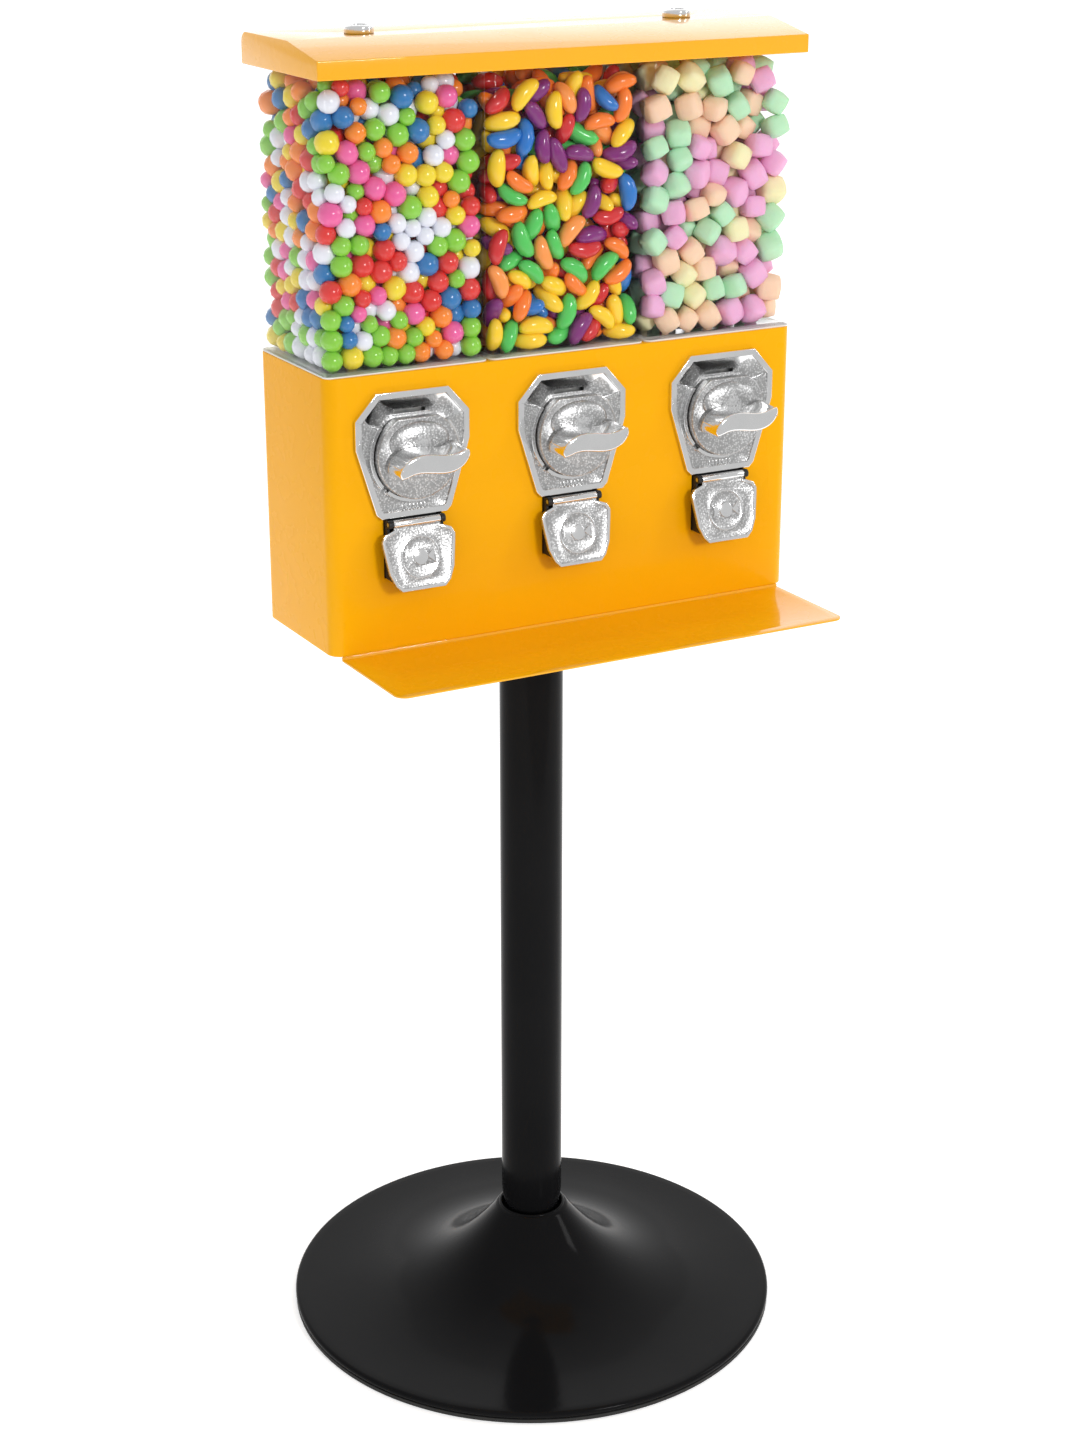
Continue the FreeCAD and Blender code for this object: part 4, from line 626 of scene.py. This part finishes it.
def hopper_room(head, replaced):
    """Lowest and highest corner of the room for sweets, and the rod that stands in it."""
    low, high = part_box(replaced)
    inner_low, inner_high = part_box(head + "_canister")
    middle_x = (inner_low.x + inner_high.x) / 2
    rod = None if head == "middle" else (middle_x, rods_y, ROD_RADIUS)
    floor = inner_low.z + CANISTER_WALL
    return (low.x, low.y, floor), (high.x, high.y, high.z), rod


BALL_RADIUS = 0.0073
BALLS = 1190
ball_sizes = np.random.default_rng(4).uniform(0.78, 1.13, BALLS)
centres, turns = settle(
    ball_sizes, np.zeros((1, 3)), BALL_RADIUS, hopper_room("left", "gumball_fill"), 5, shake)
ball = round_sweet([BALL_RADIUS] * 3, 1.0)
ball_mix = [
    (0.22, colour(232, 234, 244)), (0.13, colour(236, 92, 158)), (0.14, colour(240, 214, 20)),
    (0.20, colour(132, 204, 50)), (0.13, colour(250, 134, 4)), (0.10, colour(222, 32, 22)),
    (0.11, colour(4, 112, 178)),
]
glaze = sugar("glazed ball", 0.12, 0.00004, 0.25)
ball_tints = picked(ball_mix, BALLS, 6)
heap("gumballs", ball, centres, turns, ball_sizes, ball_tints, "gumball_fill", glaze)

BEAN_HALF_LENGTH = 0.0142
BEAN_HALF_WIDTH = 0.0064
BEAD_SPACING = 0.0075
BEAD_BOW = 0.0014
BEAD_SHRINK = 0.0006
BEAN_CURL = math.radians(-80)
BEANS = 810
bean_beads = np.array([(-BEAD_SPACING, -BEAD_BOW, 0.0), (0.0, BEAD_BOW, 0.0), (BEAD_SPACING, -BEAD_BOW, 0.0)])
bean_beads -= bean_beads.mean(0)
bean_sizes = np.random.default_rng(7).uniform(0.88, 1.06, BEANS)
centres, turns = settle(
    bean_sizes, bean_beads, BEAN_HALF_WIDTH - BEAD_SHRINK, hopper_room("middle", "jelly_bean_fill"), 8, shake)
bean = round_sweet([BEAN_HALF_LENGTH, BEAN_HALF_WIDTH, BEAN_HALF_WIDTH], 1.0, cuts=3)
curl = bean.modifiers.new("curl", "SIMPLE_DEFORM")
curl.deform_method = "BEND"
curl.deform_axis = "Z"
curl.angle = BEAN_CURL
activate(bean)
bpy.ops.object.modifier_apply(modifier="curl")
bean_mix = [
    (0.17, colour(206, 8, 22)), (0.19, colour(250, 122, 8)), (0.24, colour(252, 206, 6)),
    (0.14, colour(74, 196, 84)), (0.11, colour(122, 8, 112)), (0.07, colour(0, 112, 196)),
    (0.08, colour(252, 150, 66)),
]
jelly = sugar("glossy bean", 0.1, 0.00004, 0.2)
bean_tints = picked(bean_mix, BEANS, 9)
heap("jelly_beans", bean, centres, turns, bean_sizes, bean_tints, "jelly_bean_fill", jelly)

PUFF_RADIUS = 0.0102
PUFF_HALF_WIDTH = PUFF_RADIUS * 0.95
PUFF_HALF_HEIGHT = PUFF_RADIUS * 0.88
PUFF_ROUNDNESS = 0.5
PUFFS = 420
puff_sizes = np.random.default_rng(11).uniform(0.86, 1.06, PUFFS)
centres, turns = settle(
    puff_sizes, np.zeros((1, 3)), PUFF_RADIUS, hopper_room("right", "marshmallow_fill"), 12, shake)
puff = round_sweet([PUFF_HALF_WIDTH, PUFF_HALF_WIDTH, PUFF_HALF_HEIGHT], PUFF_ROUNDNESS, cuts=3)
puff_mix = [
    (0.34, colour(176, 228, 184)), (0.32, colour(238, 166, 208)), (0.22, colour(250, 204, 170)),
    (0.12, colour(244, 232, 176)),
]
foam = sugar("dusted marshmallow", 0.6, 0.00025, 0.5)
foam.feed("Subsurface Weight", 0.15)
puff_tints = picked(puff_mix, PUFFS, 13)
heap("marshmallows", puff, centres, turns, puff_sizes, puff_tints, "marshmallow_fill",
     foam)

# ---------------------------------------------------------------- hopper rods and lid
# Plated rods stand up through the outer hoppers, and their ends take the locks that hold the lid down. The
# lid is one folded sheet with a sloping front, in the cabinet's yellow powder coat.
coat(frame["nodes"]["hopper_rods"], zinc)
softened("lid", glossy_powder, 0.0007, segments=3)

# ---------------------------------------------------------------- locks
# Two round chromed locks, each nutted under the lid, with a turned steel plug in the middle that takes a
# round key.
RING_PHASE = 18000.0             # radians of the turned rings' wave for each metre out from the middle
polished = chrome("polished chrome", lambda paint: 0.0)
turned_steel = Paint("turned steel", {"Metallic": 1.0})
for head in ("left", "right"):
    softened(head + "_lock_body", polished, 0.0003)
    softened(head + "_lock_plug", turned_steel, 0.0002)
plug_low, plug_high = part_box("right_lock_plug")
plug_centre = (plug_low + plug_high) / 2
across = abs(turned_steel.axis("X")) - plug_centre.x
behind = turned_steel.axis("Y") - plug_centre.y
outward = (across * across + behind * behind) ** 0.5
rings = turned_steel.node("Math", {"operation": "SINE"}, {0: outward * RING_PHASE})
stain = turned_steel.noise(200.0)
turned_steel.feed("Base Color", turned_steel.mix(stain, (0.4, 0.4, 0.41, 1), (0.6, 0.6, 0.6, 1)))
turned_steel.feed("Roughness", 0.28 + 0.08 * rings)
turned_steel.emboss(rings, 0.00003)

# ---------------------------------------------------------------- camera, floor and light
# Pale paper under four soft boxes: in front, on the right, overhead and behind. The sky is bright behind and
# dim in front, and the paper stops short in front, so that chrome and enamel reflect some contrast.
camera = bpy.data.objects.new("camera", bpy.data.cameras.new("camera"))
bpy.context.collection.objects.link(camera)
camera.data.lens = 64.81
camera.data.sensor_width = 36.0
camera.location = (-0.9147, -1.6735, 1.2164)
camera.rotation_euler = (math.radians(90 - 20.159), 0.0, math.radians(-28.81))
bpy.context.scene.camera = camera
bpy.context.scene.view_settings.view_transform = "Standard"

PAPER_RADIUS = 40.0
PAPER_IN_FRONT = 1.15
PAPER_DROP = 0.0005
bpy.ops.object.select_all(action="DESELECT")
paper_middle = (0, PAPER_RADIUS - PAPER_IN_FRONT, -PAPER_DROP)
bpy.ops.mesh.primitive_circle_add(vertices=128, radius=PAPER_RADIUS, fill_type="NGON", location=paper_middle)
floor = bpy.context.object
floor.name = "floor"
paper_glow = {"Specular IOR Level": 0.1, "Emission Color": (1, 1, 1, 1), "Emission Strength": 0.4}
paper = Paint("pale paper", paper_glow)
paper.feed("Base Color", paper.mix(paper.noise(3.0), (0.93, 0.93, 0.93, 1), (0.95, 0.95, 0.95, 1)))
paper.feed("Roughness", 0.85 + 0.1 * paper.noise(50.0))
coat(floor, paper)


LAMP_TARGET = Vector((0, 0, 0.75))


def soft_box(name, place, width, height, power):
    """A rectangular lamp at place, turned to face the middle of the machine."""
    light = bpy.data.lights.new(name, "AREA")
    light.shape = "RECTANGLE"
    light.size = width
    light.size_y = height
    light.energy = power
    lamp = bpy.data.objects.new(name, light)
    lamp.location = place
    lamp.rotation_euler = (LAMP_TARGET - Vector(place)).to_track_quat("-Z", "Y").to_euler()
    bpy.context.collection.objects.link(lamp)


soft_box("key", (0.4, -3.0, 1.7), 0.6, 0.5, 32)
soft_box("side", (2.6, -1.4, 1.6), 0.5, 0.9, 8)
soft_box("top", (0.2, 0.3, 3.2), 2.2, 1.6, 1)
soft_box("back", (1.2, 2.6, 1.9), 2.2, 1.4, 3)

sky = bpy.data.worlds.new("studio")
bpy.context.scene.world = sky
sky.use_nodes = True
tree = sky.node_tree
direction = tree.nodes.new("ShaderNodeTexCoord")
behind = tree.nodes.new("ShaderNodeVectorMath")
behind.operation = "DOT_PRODUCT"
behind.inputs[1].default_value = (0.42, 0.85, 0.32)
lift = tree.nodes.new("ShaderNodeMapRange")
lift.interpolation_type = "SMOOTHSTEP"
lift.inputs["From Min"].default_value = 0.2
lift.inputs["From Max"].default_value = 0.95
lift.inputs["To Min"].default_value = 0.64
lift.inputs["To Max"].default_value = 1.35
tree.nodes["Background"].inputs["Color"].default_value = (1.0, 1.0, 1.0, 1.0)
tree.links.new(direction.outputs["Generated"], behind.inputs[0])
tree.links.new(behind.outputs["Value"], lift.inputs["Value"])
tree.links.new(lift.outputs["Result"], tree.nodes["Background"].inputs["Strength"])
